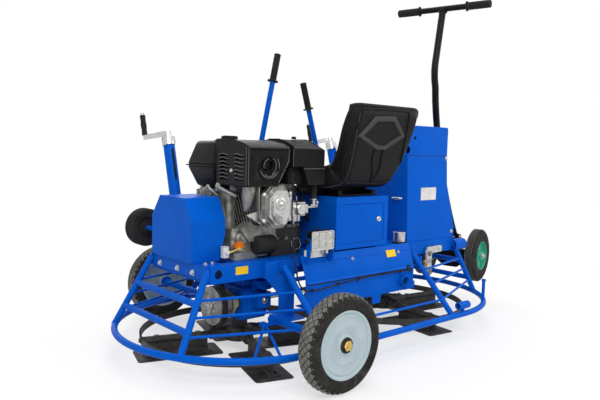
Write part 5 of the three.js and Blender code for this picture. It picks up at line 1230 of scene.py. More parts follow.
def makeCase():
    e, x0, x1 = engine, engine["left"], engine["right"]
    front = e["front"]
    body = [block(x0 + 20, x1, -82, front, e["foot"], 424),
            roundedBox(x0, x1, -128, front, e["base"], 520, 14),
            roundedBox(x0 + 20, x1 - 20, e["back"], front, 518, e["top"], 22),
            block(-540, -232, -82, -42, 664, 691.5), block(-548, -270, 80, front, 660, 671.5)]
    # webs on the crankcase, and ribs on its left side that lean with the cylinder
    body += [block(x - 2.5, x + 2.5, -131, -60, 424, 515) for x in np.linspace(-560, -275, 9)]
    body += [block(-583, -252, -130, -100, z - 2.5, z + 2.5) for z in (446, 484)]
    body += [block(-588, -560, y - 2.5, y + 2.5, 410, 516) for y in np.linspace(-40, 140, 6)]
    for y in range(-58, 159, 24):
        verts, faces = block(-571, -560, y - 2.5, y + 2.5, 522, 662)
        verts[:, 1] = np.minimum(verts[:, 1] + (verts[:, 2] - 522) * 0.3, 158)
        body.append((verts, faces))
    # exhaust stub, bracket tabs and the flanges' bolts
    body += [turned(stubOutline, (-545, -182, 694), (-0.06, 0.14, -1), 36),
             disc(15, 9, 1.5, (-596, -49, 684), left, 28), rod((-600, -54, 680), (-560, -120, 648), 9),
             disc(12, 8, 1.5, (-596, 24, 676), left, 24), rod((-600, 20, 674), (-570, -10, 640), 8),
             block(-590, -246, -134, -126, 513, 524), block(-590, -246, -134, -126, 404, 414)]
    b = caseBolts
    seats = [(x, b["y"], z) for x in np.linspace(b["from"], b["to"], b["count"]) for z in (518, 409)]
    body += boltsOf([(seats, rear, 5)], washer=False)
    body += [disc(radius, length, cut, place, rear, sides) for radius, length, cut, place, sides in caseLobes]
    body += [roundedBox(x0, -470, -146, -110, 400.5, 428, 10),
             prism("xz", [(-560, 520), (-500, 560), (-392, 560), (-340, 500), (-350, 470), (-520, 470)],
                   -152, -110),
             turned(flangeOutline, (-598, *crankLine), alongX, 48, closed=True)]
    circle = [(boreCircle["x"], *p) for p in aroundLine(crankLine, boreCircle["radius"], boreCircle["count"], 15)]
    body += boltsOf([([(-605, y, z) for y, z in tabs], left, 5.5), ([(-545, -143, 482)], rear, 6),
                     ([(-330, -149, 470)], rear, 7), (circle, left, 6)])
    makePiece("engineCase", body, "castMetal", nodes=["engine_block"], bevel=1.6)


# slanted cooling fins round the cylinder: each is further back, higher and smaller than the last
fins = {"count": 11, "y": -66, "back": 13.6, "z": 503, "rise": 4.6, "left": -533, "narrow": 1.6, "right": -388,
        "tall": 168, "shrink": 3, "corner": 34, "wall": 3.4, "lean": 0.42}
coreOutline = ((-512, 30), (-512, 140), (-490, 158), (-400, 158), (-400, 12), (-494, 12))


def makeFins():
    f = fins
    sheets, edges = [], []
    for k in range(f["count"]):
        y, z0 = f["y"] - k * f["back"], f["z"] + k * f["rise"]
        x0, tall = f["left"] + k * f["narrow"], f["tall"] - k * f["shrink"]
        outline = roundedOutline(x0, f["right"], 0, tall, f["corner"], 9)
        verts, faces = prism("xz", outline, y, y + f["wall"])
        verts[:, 1] += verts[:, 2] * f["lean"]
        verts[:, 2] += z0
        sheets.append((verts, faces))
        # a lighter tube along each fin's rear edge: painted highlight
        edges.append(tube(verts[:len(outline)][6:24], 1.5, 6))  # the lit edge, on the rear face
    makePiece("coolingFins", sheets, "darkSteel", bevel=0.8)
    makePiece("finHighlights", edges, "castMetal")
    ends = [[(x, -62 - k * f["back"] + z * f["lean"], f["z"] + k * f["rise"] + z) for x, z in coreOutline]
            for k in (0, f["count"])]
    makePiece("cylinderCore", [joined(*ends)], "darkSteel")


# valve cover: eight-sided lid with a raised panel, rim bolts and a bright boss
coverBox = {"left": -496, "right": -386, "low": 545, "high": 675}
coverCorners = ((-506, 560), (-506, 660), (-378, 560), (-378, 660))
bossAt = (-449, -257, 626)
bossOutline = [(0, 0), (25, 0), (26, 2), (24, 4), (17, 5), (16, 8), (0, 8)]
bossNut = [(0, 0), (9, 0), (9, 5), (7, 6.5), (0, 6.5)]


def lid(grow, y0, y1, corner):
    c = coverBox
    x0, x1, z0, z1 = c["left"] - grow, c["right"] + grow, c["low"] - grow, c["high"] + grow
    points = [(x0 + corner, z0), (x1 - corner, z0), (x1, z0 + corner), (x1, z1 - corner), (x1 - corner, z1),
              (x0 + corner, z1), (x0, z1 - corner), (x0, z0 + corner)]
    return prism("xz", points, y0, y1)


def makeValveCover():
    cover = [lid(0, -250, -224, 30), lid(-13, -258, -248, 24)]
    for k in range(5):
        verts, faces = block(-478, -440, -261, -256, 560 + k * 7, 563 + k * 7)
        verts[:, 2] -= (verts[:, 0] + 478) * 0.5
        cover.append((verts, faces))
    makePiece("valveCover", cover, "brightSteel", bevel=3.2, segments=3)
    # head casting behind the lid, wider and darker, with its own steps
    head = [lid(18, -222, -206, 40), lid(9, -232, -216, 34)]
    head += [disc(10, 14, 2, (x, -214, z), rear, 24) for x, z in coverCorners]
    makePiece("cylinderHead", head, "castMetal", bevel=2, segments=3)
    sheets = [prism("xz", [(-572, 582), (-498, 600), (-500, 541)], -204, -200),
              block(-523, -520.5, -216, -160, 596, 692)]
    makePiece("heatSheets", sheets, "brightSteel", bevel=0.4)
    boss = boltsOf([([(x, -227, z) for x, z in coverCorners], rear, 6.5)])
    x, y, z = bossAt
    boss += [turned(bossOutline, bossAt, rear, 40), turned(bossNut, (x, y - 7.5, z), rear, 6)]
    makePiece("coverBoss", boss, "brightSteel")


# fan housing with its slotted cover
fanHousing = [(0, 0), (128, 0), (132, 4), (132, 66), (126, 74), (112, 76), (98, 80), (0, 80)]
fanCover = [(0, 0), (96, 0), (98, 2), (98, 10), (94, 15), (84, 19), (30, 22), (0, 22)]
fanVent = {"count": 28, "x": -198.4, "inner": 40, "outer": 84, "innerHalf": 2.2, "outerHalf": 4}


def makeFan():
    makePiece("fanHousing", [turned(fanHousing, (-292, *crankLine), alongX, 64)], "blackPaint", bevel=1)
    makePiece("fanCover", [turned(fanCover, (-219, *crankLine), alongX, 64)], "blackPlastic", bevel=1)
    vents, f = [], fanVent
    middle = np.array([f["x"], *crankLine])
    for a in np.linspace(0, 2 * math.pi, f["count"], endpoint=False):
        way = np.array([0, math.cos(a), math.sin(a)])
        side = np.array([0, -math.sin(a), math.cos(a)])
        quad = np.array([middle + way * r + side * half
                         for r, half in ((f["inner"], f["innerHalf"]), (f["outer"], f["outerHalf"]),
                                         (f["outer"], -f["outerHalf"]), (f["inner"], -f["innerHalf"]))])
        vents.append(solidBetween(quad + (-3, 0, 0), quad + (3.4, 0, 0)))
    makePiece("fanVents", vents, "castMetal")


# carburettor with its bowl, screws and levers
carb = {"x": -307, "y": -168, "bowlLow": 540, "screws": ((-343, 583), (-271, 583), (-343, 605), (-271, 605))}
filterOutline = [(0, 0), (30, 0), (36, 6), (37, 20), (37, 84), (33, 92), (0, 94)]
hangingLoop = {"x": -318, "y": -200, "z": 452, "radius": 24, "wave": 3}


def makeCarburettor():
    x, y, low = carb["x"], carb["y"], carb["bowlLow"]
    forms = [roundedBox(-350, -264, -200, -58, 566, 622, 10), disc(30, 40, 4, (x, y, low), upward, 36),
             disc(24, 20, 3, (x, -200, 594), rear, 36), block(-352, -262, -206, -196, 576, 612),
             rod((-320, -150, 620), (-320, -150, 646), 6), block(-338, -302, -158, -142, 640, 644),
             rod((-280, -150, 600), (-280, -150, 642), 5)]
    forms += boltsOf([([(sx, -206, sz) for sx, sz in carb["screws"]], rear, 4.5), ([(x, y, low)], down, 8)])
    makePiece("carburettor", forms, "brightSteel", bevel=1.2)
    h = hangingLoop
    loop = [(h["x"] + h["radius"] * math.cos(a), h["y"] + h["wave"] * math.sin(3 * a),
             h["z"] + h["radius"] * math.sin(a)) for a in np.linspace(0, 2 * math.pi, 48)[:-1]]
    makePiece("wireLoop", [tube(loop, 1.7, 8, closed=True)], "castMetal")
    makePiece("oilFilter", [turned(filterOutline, (-497, -160, 455), alongX, 48)], "blackRubber", bevel=1.2)


# small parts low on the engine
def makeLowParts():
    # a dark panel and lobe on the crankcase's right side: painted shade behind the oil filter
    shade = [roundedBox(-410, -252, -150, -126, 402, 508, 22), disc(40, 26, 10, (-356, -128, 500), rear, 40)]
    makePiece("paintedShadePanel", shade, "darkSteel", bevel=2)
    ignition = [roundedBox(-638, -611, -150, -124, 416, 458, 6), rod((-624, -152, 438), (-624, -158, 438), 8)]
    makePiece("ignitionBlock", ignition, "whitePlastic", bevel=1)
    drain = [rod((-612, -144, 432), (-566, -150, 446), 5), disc(8, 9, 1, (-566, -146, 446), rear, 6)]
    makePiece("drainFitting", drain, "brass")
    x0, x1 = engine["left"], engine["right"]
    strip = [block(x0, x1, -90, -84, 400.5, 412), block(x0, x1, 161, 166, 400.5, 412),
             block(x0, x1, -106, -86, 400.3, 403.5)]
    strip += boltsOf([([(x, -96, 400.5) for x in (-560, -470, -380, -290)], upward, 7)])
    makePiece("baseStrip", strip, "brightSteel")


# spark lead, hoses and wires, each with the points it runs through
sparkLead = [(-400, -236, 668), (-392, -246, 684), (-370, -240, 690), (-356, -214, 676), (-352, -160, 650)]
fuelHose = [(-262, -130, 596), (-238, -140, 600), (-226, -120, 640), (-236, -50, 690), (-262, -30, 690)]
controlWire = [(-356, -212, 700), (-352, -232, 640), (-348, -238, 560), (-352, -236, 470), (-356, -228, 404)]
breather = {"x": -227, "y": -200, "low": 636, "high": 700, "ribs": (644, 656, 668, 680)}
guideOutline = [(4, 0), (12, 0), (13, 2), (13, 6), (11, 8), (4, 8)]


def makeHoses():
    lead = [tube(smoothLine(sparkLead, 40), 3.6, 12), rod((-402, -226, 664), (-400, -240, 672), 8)]
    makePiece("sparkLead", lead, "blackRubber")
    makePiece("fuelHoses", [tube(smoothLine(fuelHose, 36), 4.2, 12)], "blackRubber")
    x, y = breather["x"], breather["y"]
    ridge = [(12, -2), (13.6, -2), (13.6, 2), (12, 2)]
    pipeForms = [rod((x, y, breather["low"]), (x, y, breather["high"]), 12.5, 24)]
    pipeForms += [turned(ridge, (x, y, z), upward, 28, closed=True) for z in breather["ribs"]]
    makePiece("breatherPipe", pipeForms, "blackRubber")
    foot = [rod((x, y, 604), (x, y, 638), 9, 20), disc(15, 7, 1.5, (x, y, 628), upward, 28),
            block(x - 20, x + 20, y - 6, y + 6, 604, 611), rod((-262, y, 600), (-206, y, 600), 5)]
    foot += bolt((-210, -206, 618), rear, 5)
    makePiece("breatherFoot", foot, "brightSteel", bevel=0.8)
    makePiece("controlWire", [tube(smoothLine(controlWire, 40), 2.2, 10)], "blackRubber")
    guide = [block(-208, -174, -106, -2, 552, 568),
             turned(guideOutline, (-178, -99.5, 560), alongY, 24, closed=True)]
    makePiece("cordGuide", guide, "blackPlastic", bevel=1.2)


makeCase()
makeFins()
makeValveCover()
makeFan()
makeCarburettor()
makeLowParts()
makeHoses()

gripEgg = [(0, 0), (5, 0.6), (8, 5), (7, 20), (7.4, 31), (7, 42), (8, 57), (5, 61.4), (0, 62)]
makePiece("recoilGrip", [turned(gripEgg, (-178, -108, 529), upward, 28)], "blackPlastic", "recoil_grip",
          nodes=["recoil_grip"])

# muffler guard: sloping right end, crowned roof, mouth, folded rims and ribs
muffler = {"left": -598, "rear": -238, "front": -38, "low": 696, "slopeTop": 789, "slopeRight": -412,
           "draw": 56 / 97}
roofLine = [(-240, 829.4), (-240, 840), (-236, 846), (-205, 856), (-150, 866), (-90, 870), (-34, 868),
            (-34, 829.4)]
mouth = {"x": -497.5, "z": 761, "y": -241}
mouthHighlightArcs = ((47, 200, 395), (40, 235, 320), (33, -70, 62), (27, 100, 200))  # radius, first and last angle
mouthRim = [(44, 0), (47.5, -1), (48.5, 2), (47, 4.5), (44, 3)]
silencer = [(0, 0), (70, 0), (84, 10), (84, 130), (70, 140), (0, 140)]
rimTubes = [  # end, end, radius, sides
    ((-598, -238, 696), (-452, -238, 696), 3.4, 10),
    ((-598, -238, 696), (-598, -38, 696), 3.4, 10),
    ((-598, -38, 696), (-598, -38, 826), 3.8, 10),
    ((-598, -238, 696), (-598, -238, 838), 4.2, 12),
]
# light grey lines along the guard's edges: painted highlight
highlightLines = [  # end, end, radius
    ((-601, -236, 700), (-601, -236, 840), 1.6),
    ((-594, -241, 700), (-594, -241, 840), 1.3),
    ((-449, -240.5, 706), (-401, -240.5, 789), 1.6),
    ((-401, -240.5, 789), (-398, -240.5, 836), 1.4),
    ((-596, -237, 842), (-398, -237, 842), 1.2),
]
slots = {"columns": 2, "rows": 7, "pitch": 15, "low": 718, "wide": 103, "half": 31}
louvre = {"count": 16, "left": -594, "pitch": 12}


def makeMuffler():
    m = muffler

    def slopeEnd(x, y, z):
        return -m["draw"] * max(0, m["slopeTop"] - z) if x > m["slopeRight"] else 0

    fromSolid("muffler_guard", "mufflerGuard", "blackPaint", bevel=2.2, cutHeight=m["slopeTop"], reshape=slopeEnd)
    makePiece("guardRoof", [prism("yz", roofLine, -600, -396)], "blackPaint", bevel=5, segments=3)
    x, y, z = mouth["x"], mouth["y"], mouth["z"]
    # light grey arcs round the mouth: painted highlight on its rim
    arcs = [tube([(px, y, pz) for px, pz in arc(x + 2, z + 10, r, start, end, 30)], 1.7, 8)
            for r, start, end in mouthHighlightArcs]
    makePiece("mouthHighlights", arcs, "paintedHighlight")
    forms = [pipe((x - 2, -231.8, z + 12), (x - 2, -247, z + 12), 21, 18.5, 36),
             turned(mouthRim, (x, y + 2, z), rear, 56, closed=True)]
    for z0 in (742, 754, 766, 784, 796, 808):
        forms += [block(-588, -562, -242.6, -239, z0, z0 + 4), block(-442, -412, -242.6, -239, z0 + 6, z0 + 10)]
    makePiece("mufflerMouth", forms, "blackPaint", bevel=0.6)
    screw = [(0, 0), (8, 0), (7.2, 2.6), (4, 4), (0, 4.4)]
    makePiece("guardScrews", [turned(screw, (-600, -137, 750), left, 28)], "brightSteel")
    makePiece("guardRims", [rod(*line) for line in rimTubes], "blackPlastic")
    # raised lips round the slots, and lines along the guard's edges, all in light grey as painted highlight
    edges = [rod(*line, 8) for line in highlightLines]
    s = slots
    for k in range(s["columns"]):
        y = -240 + s["wide"] * (k + 0.5)
        for row in range(s["rows"]):
            z = s["low"] + row * s["pitch"] + 4.2
            curve = [(-601, y + t * s["half"], z + 2.2 * math.sin(t * 3.1 + k)) for t in np.linspace(-1, 1, 13)]
            edges.append(tube(curve, 1.5, 8))
    # slanted ribs along the top edge, in light grey as painted highlight
    louvres = []
    for k in range(louvre["count"]):
        x0 = louvre["left"] + k * louvre["pitch"]
        bar = np.array([(x0 + 10, -240.5, 843), (x0 + 15, -240.5, 843), (x0 + 5, -206, 858.2), (x0, -206, 858.2)])
        louvres.append(solidBetween(bar, bar + (0, 2, -5)))
    makePiece("topLouvres", louvres, "paintedHighlight", bevel=0.5)
    makePiece("guardHighlights", edges, "paintedHighlight")
    makePiece("silencer", [turned(silencer, (-567, -137, 758), alongX, 40)], "darkSteel")


makeMuffler()


# a box with rounded plan corners, its top and bottom edges rolled over by a quarter circle
def roundedLoft(x0, x1, y0, y1, z0, z1, corner, edge, taper=0.0, lowTaper=0.0):
    rings = []
    angles = np.linspace(0, math.pi / 2, 6)
    levels = [(edge * (1 - math.sin(a)), z0 + edge * (1 - math.cos(a))) for a in angles]
    levels += [(edge * (1 - math.cos(a)), z1 - edge * (1 - math.sin(a))) for a in angles]
    for pull, z in levels:
        share = (z - z0) / (z1 - z0)
        inset = pull + taper * share + lowTaper * (1 - share)
        plan = roundedOutline(x0 + inset, x1 - inset, y0 + inset, y1 - inset, max(corner - pull, 1))
        rings.append([(x, y, z) for x, y in plan])
    n = len(rings[0])
    faces = gridFaces(len(rings), n, wrapColumns=True)
    faces += [list(range(n)), list(range((len(rings) - 1) * n, len(rings) * n))[::-1]]
    return np.array(rings).reshape(-1, 3), faces


# tank and its cap, which is knurled round its rim
tankPlan = (-600, -242, -28, 205)
tankSeam = 762.5
fuelCap = {"x": -455, "y": 88, "z": 865, "radius": 36, "sides": 180, "ridge": 1.1, "ridges": 18}
capInside = ((10.5, 0.0), (10.5, 26.2), (0.4, 26.2))  # height, radius
capRings = ((0.4, 0.73, 0), (0.4, 0.96, 0), (2, 0.985, 1), (17, 0.985, 1), (20, 0.955, 0.6), (22, 0.9, 0),
            (22, 0.74, 0), (19.5, 0.7, 0))  # height, share of the radius, share of the ridges


def makeTank():
    c = fuelCap
    x0, x1, y0, y1 = tankPlan
    forms = [roundedLoft(*tankPlan, 672, tankSeam + 1.5, 26, 14, lowTaper=34),
             roundedLoft(*tankPlan, tankSeam - 1.5, c["z"], 26, 16, taper=30),
             roundedLoft(x0 - 5, x1 + 4, y0 - 4, y1 + 6, tankSeam - 2.9, tankSeam + 2.9, 30, 2.4),
             turned([(0, 0), (25.9, 0), (25.9, 12), (0, 12)], (c["x"], c["y"], c["z"] - 2), upward, 40),
             roundedLoft(-560, -330, -10, 60, 864, 868, 22, 3)]
    makePiece("fuelTank", forms, "blackPaint", nodes=["fuel_tank"], sharp=50)
    angles = np.linspace(0, 2 * math.pi, c["sides"], endpoint=False)
    ridge = c["ridge"] * np.abs(np.cos(angles * c["ridges"])) ** 0.6
    rows = list(capInside)
    rows += [(h, c["radius"] * share - c["ridge"] + ridge * knurl) for h, share, knurl in capRings] + [(19.5, 0)]
    cap = ringStack((c["x"], c["y"], c["z"]), "z", rows, angles)
    bar = roundedBox(c["x"] - 28, c["x"] + 28, c["y"] - 6, c["y"] + 6, 883, 888, 5)
    makePiece("fuelCap", [cap, bar], "blackPlastic", "fuel_cap", nodes=["fuel_cap"], sharp=45)


makeTank()

# air cleaner
cleanerLid = [(-237, 766), (-237, 834), (-231, 845), (-176, 868), (-140, 876), (-70, 876), (-56, 868),
              (-52, 852), (-52, 766)]
cleanerHighlights = [((-320, -239.6, 760), (-206, -239.6, 760), 1.3), ((-372, -236, 770), (-372, -236, 834), 1.4),
                ((-368, -233, 843), (-228, -233, 843), 1.3)]


def makeCleaner():
    top, faces = prism("yz", cleanerLid, -376, -208)
    top[:, 0] = np.where(top[:, 2] > 840, np.clip(top[:, 0], -368, -226), top[:, 0])
    low = prism("xz", [(-318, 768), (-289, 697), (-207, 697), (-205, 768)], -238, -56)
    hinge = prism("xz", [(-320, 763), (-318, 757), (-204, 757), (-204, 763)], -240, -54)
    back = roundedBox(-372, -292, -208, -60, 697, 768, 14)
    makePiece("airCleaner", [(top, faces), low, hinge, back], "blackPlastic", nodes=["air_cleaner"], bevel=5,
              segments=3, sharp=50)
    # light grey ribs and lines on the cleaner: painted highlight
    ribs = [block(-206.5, -203.4, y, y + 6, 776, 836) for y in range(-200, -90, 26)]
    makePiece("cleanerHighlights", ribs + [rod(*line, 8) for line in cleanerHighlights], "paintedHighlight")
    knob = [(0, 0), (9, 0), (10, 2), (10, 8), (7, 11), (0, 11)]
    makePiece("cleanerNut", [turned(knob, (-295, -144, 878), upward, 24)], "blackPaint")


makeCleaner()

# oil cap with its wing, and the filler's neck
oilCap = (-562, -128.3, 457)


def makeOilCap():
    x, y, z = oilCap
    knob = [(0, 0), (13, 0), (15, 2), (15, 9), (12, 11), (0, 11)]
    wing = [(-582, 450), (-562, 447), (-542, 450), (-545, 466), (-562, 474), (-579, 466)]
    forms = [turned(knob, oilCap, rear, 36), prism("xz", wing, y - 20, y - 9),
             rod((x, y + 14, z), (x, y - 1, z), 8.6)]
    makePiece("oilCap", forms, "orangePlastic", "oil_cap", nodes=["oil_cap"], bevel=2)
    makePiece("fillerNeck", [pipe((x, -128, z), (x, -114, z), 19, 9.3, 32)], "castMetal")


makeOilCap()
print("engine made")


# drive: clutch and pulley, belt, cross shaft
grooveDeep = 9
clutchFace = -702
clutchOutline = [(0, 0), (18, 0), (18, 3), (30, 3), (52, 3), (56, 6), (56, 30), (54, 32), (56, 34), (56, 57),
                 (53, 60), (25, 60), (25, 67)]
clutchHub = [(25, 97), (12.4, 98), (12.4, 120), (0, 120)]
shaftLine = (-60, 212)  # y and z of the cross shaft
pulleyFace = -635
pulleySide = [(0, 0), (14, -1), (40, -1), (70, 0)]
pulleyHub = [(46, 73), (56, 73), (56, 82), (36, 82), (36, 111), (34, 111), (12.4, 111), (0, 111)]
belt = {"x": -620, "upper": 51.5, "lower": 79, "steps": 40, "pitch": 6}
beltSection = [(-6.5, -1.2), (-10, 7.6), (-9, 8.6), (9, 8.6), (10, 7.6), (6.5, -1.2)]


def grooves(radius, low, high, count):
    points = [(radius, low)]
    step = (high - low) / count
    for k in range(count):
        z = low + k * step
        points += [(radius, z + step * 0.2), (radius - grooveDeep, z + step * 0.38),
                   (radius - grooveDeep, z + step * 0.62), (radius, z + step * 0.8)]
    return points + [(radius, high)]


# the loop round both pulleys, in y and z, cut into short steps
def beltLine():
    a, b = np.array(crankLine, float), np.array(shaftLine, float)
    ra, rb = belt["upper"], belt["lower"]
    along = math.atan2(b[1] - a[1], b[0] - a[0])
    lean = math.acos((ra - rb) / np.linalg.norm(b - a))
    path = []
    for centre, r, start, end in ((a, ra, along + lean, along - lean + 2 * math.pi),
                                  (b, rb, along - lean, along + lean)):
        path += [centre + r * np.array([math.cos(t), math.sin(t)]) for t in np.linspace(start, end, belt["steps"])]
    dense = []
    for p, q in zip(path, path[1:] + path[:1]):
        steps = max(1, int(np.linalg.norm(q - p) / belt["pitch"]))
        dense += [p + (q - p) * i / steps for i in range(steps)]
    return np.array(dense)


def makeDrive():
    outline = clutchOutline + grooves(50, 67, 97, 1) + clutchHub
    forms = [turned(outline, (clutchFace, *crankLine), alongX, 64)]
    forms += boltsOf([([(clutchFace + 3, *p) for p in aroundLine(crankLine, 38, 6)], left, 5)])
    makePiece("clutchPulley", forms, "castMetal", "clutch", nodes=["clutch_pulley"], bevel=0.6)
    y, z = shaftLine
    ribbed = []
    for k in range(6):
        ribbed += [(46, 31 + k * 7), (46, 34.4 + k * 7), (43.4, 35.6 + k * 7), (43.4, 37 + k * 7)]
    outline = pulleySide + grooves(77.5, 0, 30, 2) + [(46, 30)] + ribbed + pulleyHub
    makePiece("drivenPulley", [turned(outline, (pulleyFace, y, z), alongX, 64)], "castMetal", "cross_shaft",
              nodes=["cross_shaft"])
    shaft = [rod((-530, y, z), (519, y, z), 12.4, 32)]
    shaft += [disc(20, 16, 1.5, (x, y, z), alongX, 32) for x in (-380, 364)]
    makePiece("crossShaft", shaft, "brightSteel", "cross_shaft")
    makePiece("shaftSleeve", [pipe((-552, y, z), (-524, y, z), 36.4, 13, 40)], "brass", "cross_shaft")
    circle = [(pulleyFace - 1, *p) for p in aroundLine(shaftLine, 30, 5)]
    nuts = boltsOf([([(pulleyFace - 2, y, z)], left, 13), (circle, left, 5)])
    makePiece("pulleyBolts", nuts, "brightSteel", "cross_shaft")
    line = beltLine()
    tangents = np.roll(line, -1, 0) - np.roll(line, 1, 0)
    tangents /= np.linalg.norm(tangents, axis=1)[:, None]
    outward = np.stack([tangents[:, 1], -tangents[:, 0]], 1)
    rows = np.array([np.c_[np.full(len(line), belt["x"] + dx), line + outward * h] for dx, h in beltSection])
    loop = (rows.transpose(1, 0, 2).reshape(-1, 3), gridFaces(len(line), len(beltSection), True, True))
    makePiece("driveBelt", [loop], "blackRubber", nodes=["drive_belt"])


makeDrive()

# rotors: hub with four arms, band round the outside, four blades
rotors = {"left": (-455, 73), "right": (455, 262)}  # x of the shaft, angle of the first blade
hubOutline = [(0, 36), (58, 36), (62, 40), (62, 84), (56, 90), (40, 94), (36, 98), (36, 135.4), (20, 135.4),
              (20, 163), (0, 163)]
lowWeb = [(40, 40), (118, 44), (118, 52), (40, 60)]
highWeb = [(36, 96), (60, 96), (118, 86), (118, 80), (36, 80)]
bandOutline = [(402, 52), (407, 52), (407, 80), (402, 80)]
bladePlan = roundedOutline(86, 428, -75, 75, 14)
# rib folded up from the blade, and a flange that carries the bolts
bladeRib = [(-13, 3), (13, 3), (9, 8), (5, 11), (5, 56), (-5, 56), (-5, 11), (-9, 8)]
bladeFlange = [(-34, 2.6), (34, 2.6), (34, 6), (-34, 6)]
armHigh = 66


def makeRotor(side):
    centre, angle = rotors[side]
    origin = (centre, 0, 0)
    body, ending = "rotor_" + side, side.capitalize()

    def placed(forms, k):
        turn = turnAbout(upward, angle + 90 * k).T
        return [(verts @ turn + origin, faces) for verts, faces in forms]

    branch = [pipe((34, 0, armHigh), (128, 0, armHigh), 23, 14.4, 32), prism("xz", lowWeb, -5, 5),
              prism("xz", highWeb, -4, 4)] + boltsOf([([(90, 0, 89), (114, 0, 89)], upward, 5)])
    hub = [turned(hubOutline, origin, upward, 48)]
    for k in range(4):
        hub += placed(branch, k)
    makePiece("spider" + ending, hub, "darkSteel", body, nodes=["spider_" + side], bevel=0.8)
    band = [bandOutline]
    band += [[(400.5, z - 1.6), (408.2, z - 1.6), (408.2, z + 1.6), (400.5, z + 1.6)] for z in (53.6, 78.4)]
    makePiece("bandRing" + ending, [turned(outline, origin, upward, 128, closed=True) for outline in band],
              "darkSteel", body, nodes=["band_ring_" + side], bevel=0.5)
    bladeForms = [prism("xy", bladePlan, 0, 3), prism("yz", bladeRib, 136, 384),
                  prism("yz", bladeFlange, 124, 396)]
    bladeForms += boltsOf([([(x, y, 6) for x in (160, 220, 300, 360) for y in (-24, 24)], upward, 6)])
    arm = [rod((72, 0, armHigh), (398, 0, armHigh), 14, 28), rod((396, 0, armHigh), (415, 0, armHigh), 7.8, 20)]
    arm += [disc(18, 20, 1.5, (x - 10, 0, armHigh), alongX, 6) for x in (176, 344)]
    for k in range(4):
        node = "blade_" + side + "_" + str(k + 1)
        makePiece("blade" + ending + str(k + 1), placed(bladeForms, k), "darkSteel", node, nodes=[node], bevel=0.7)
        makePiece("arm" + ending + str(k + 1), placed(arm, k), "darkSteel", node, bevel=0.7)


for side in ("left", "right"):
    makeRotor(side)
print("drive and rotors made")

# large wheels: tyre with block tread, disc, hub nut
large = {"x": -475, "y": 626, "z": 175}
tyreHalf = [(121.3, 30), (124, 34), (130, 36), (140, 37), (146, 36.2), (148, 37), (158, 35), (166, 30), (169, 24),
            (170.4, 12)]  # radius and distance from the middle, from the bead to the tread
tyreOutline = [(r, -h) for r, h in tyreHalf] + [(170.8, 0)] + tyreHalf[::-1]
tread = {"count": 40, "rows": (-24, -12, 0, 12, 24), "around": 170, "foot": 167, "top": 174.6, "shrink": 0.88,
         "flat": 12, "fall": 23, "drop": 14}
treadPlan = [(12.2, 0), (0, 10.9), (-12.2, 0), (0, -10.9)]
discOutline = [(15.2, -37), (26, -37), (26, 21), (34, 22), (60, 25.2), (96, 27), (110, 25), (113, 20), (113, -29),
               (121, -31), (121, -26), (118, -24), (118, 28), (121, 31), (121, 34), (117, 35), (112, 33),
               (108, 28.6), (101, 31), (97, 28.8), (70, 27.4), (66, 29.6), (62, 27.6), (44, 25.8), (40, 24),
               (30, 29), (26, 30), (15.2, 30)]
hubRing = [(16, 0), (27, 0), (28, 1), (27, 5), (16, 5)]
hubNut = [(0, 0), (18.4, 0), (19.6, 1.5), (19.6, 11.4), (18, 13.2), (0, 13.2)]
hubEnd = [(0, 12), (9, 12), (8, 16), (0, 16.6)]


# diamond blocks in five staggered rows, with narrow grooves between them
def treadOf(centre, axis):
    t = tread
    a, b = sideAxes(axis)
    blocks = []
    for row, across in enumerate(t["rows"]):
        for k in range(t["count"]):
            start = 2 * math.pi * (k + 0.5 * (row % 2)) / t["count"]

            def at(da, dh, r):
                angle = start + da / t["around"]
                r -= max(0, (abs(across + dh) - t["flat"]) / t["fall"]) ** 2 * t["drop"]
                return centre + axis * (across + dh) + r * (math.cos(angle) * a + math.sin(angle) * b)

            s = t["shrink"]
            blocks.append(solidBetween([at(p, q, t["foot"]) for p, q in treadPlan],
                                       [at(p * s, q * s, t["top"]) for p, q in treadPlan]))
    return blocks


def makeLargeWheel(name, sign):
    w, ending = large, name.capitalize()
    centre, axis = np.array([w["x"], sign * w["y"], w["z"]]), np.array([0, sign, 0])
    body = "wheel_" + name
    makePiece("tyre" + ending, [turned(tyreOutline, centre, axis, 96, closed=True)], "tyreRubber", body,
              nodes=["tyre_" + name], sharp=50)
    makePiece("treadBlocks" + ending, treadOf(centre, axis), "treadRubber", body)
    makePiece("disc" + ending, [turned(discOutline, centre, axis, 96, closed=True)], "greyPaint", body,
              nodes=["disc_" + name], sharp=40)
    spot = centre + axis * 29.5
    makePiece("hubRing" + ending, [turned(hubRing, spot, axis, 40, closed=True)], "blackRubber", body)
    makePiece("hubNut" + ending, [turned(hubNut, spot, axis, 6), turned(hubEnd, spot, axis, 28)], "brass", sharp=30)


for name, sign in (("near", -1), ("far", 1)):
    makeLargeWheel(name, sign)

# dolly: bracket, axle, small wheels and handle; it stands turned about its pin, so places on it are given by
# how far out and how far to the near side they are
dollyAngle = math.radians(14)
nearWay = np.array([math.sin(dollyAngle), -math.cos(dollyAngle), 0])
outWay = np.array([math.cos(dollyAngle), math.sin(dollyAngle), 0])
pinAt = 1042
bracket = {"plate": 748.4, "face": 756, "low": 306, "high": 346}
axleHigh = 266
yokeOutline = [(-120, 290), (-120, 246), (-40, 184), (40, 184), (120, 246), (120, 290)]
pinHead = [(0, 0), (24, 0), (25, 1), (25, 9), (0, 9)]
liftRing = {"wide": 9, "tall": 11, "z": 372, "lean": 0.3}
smallTrack = 155
smallSide = [(77.5, 26), (84, 28), (104, 28.6), (108, 27.6), (112, 28.8), (124, 28), (134, 26.4), (141, 23)]
smallLands = (-18.6, -13.4, -6.4, 0.6, 7.6, 15.6)
smallHub = [(10.4, -28.6), (24, -28.6), (26, -26), (28, -16), (60, -13), (72, -15), (75, -27), (79, -29), (80, -26),
            (77.6, -24)]
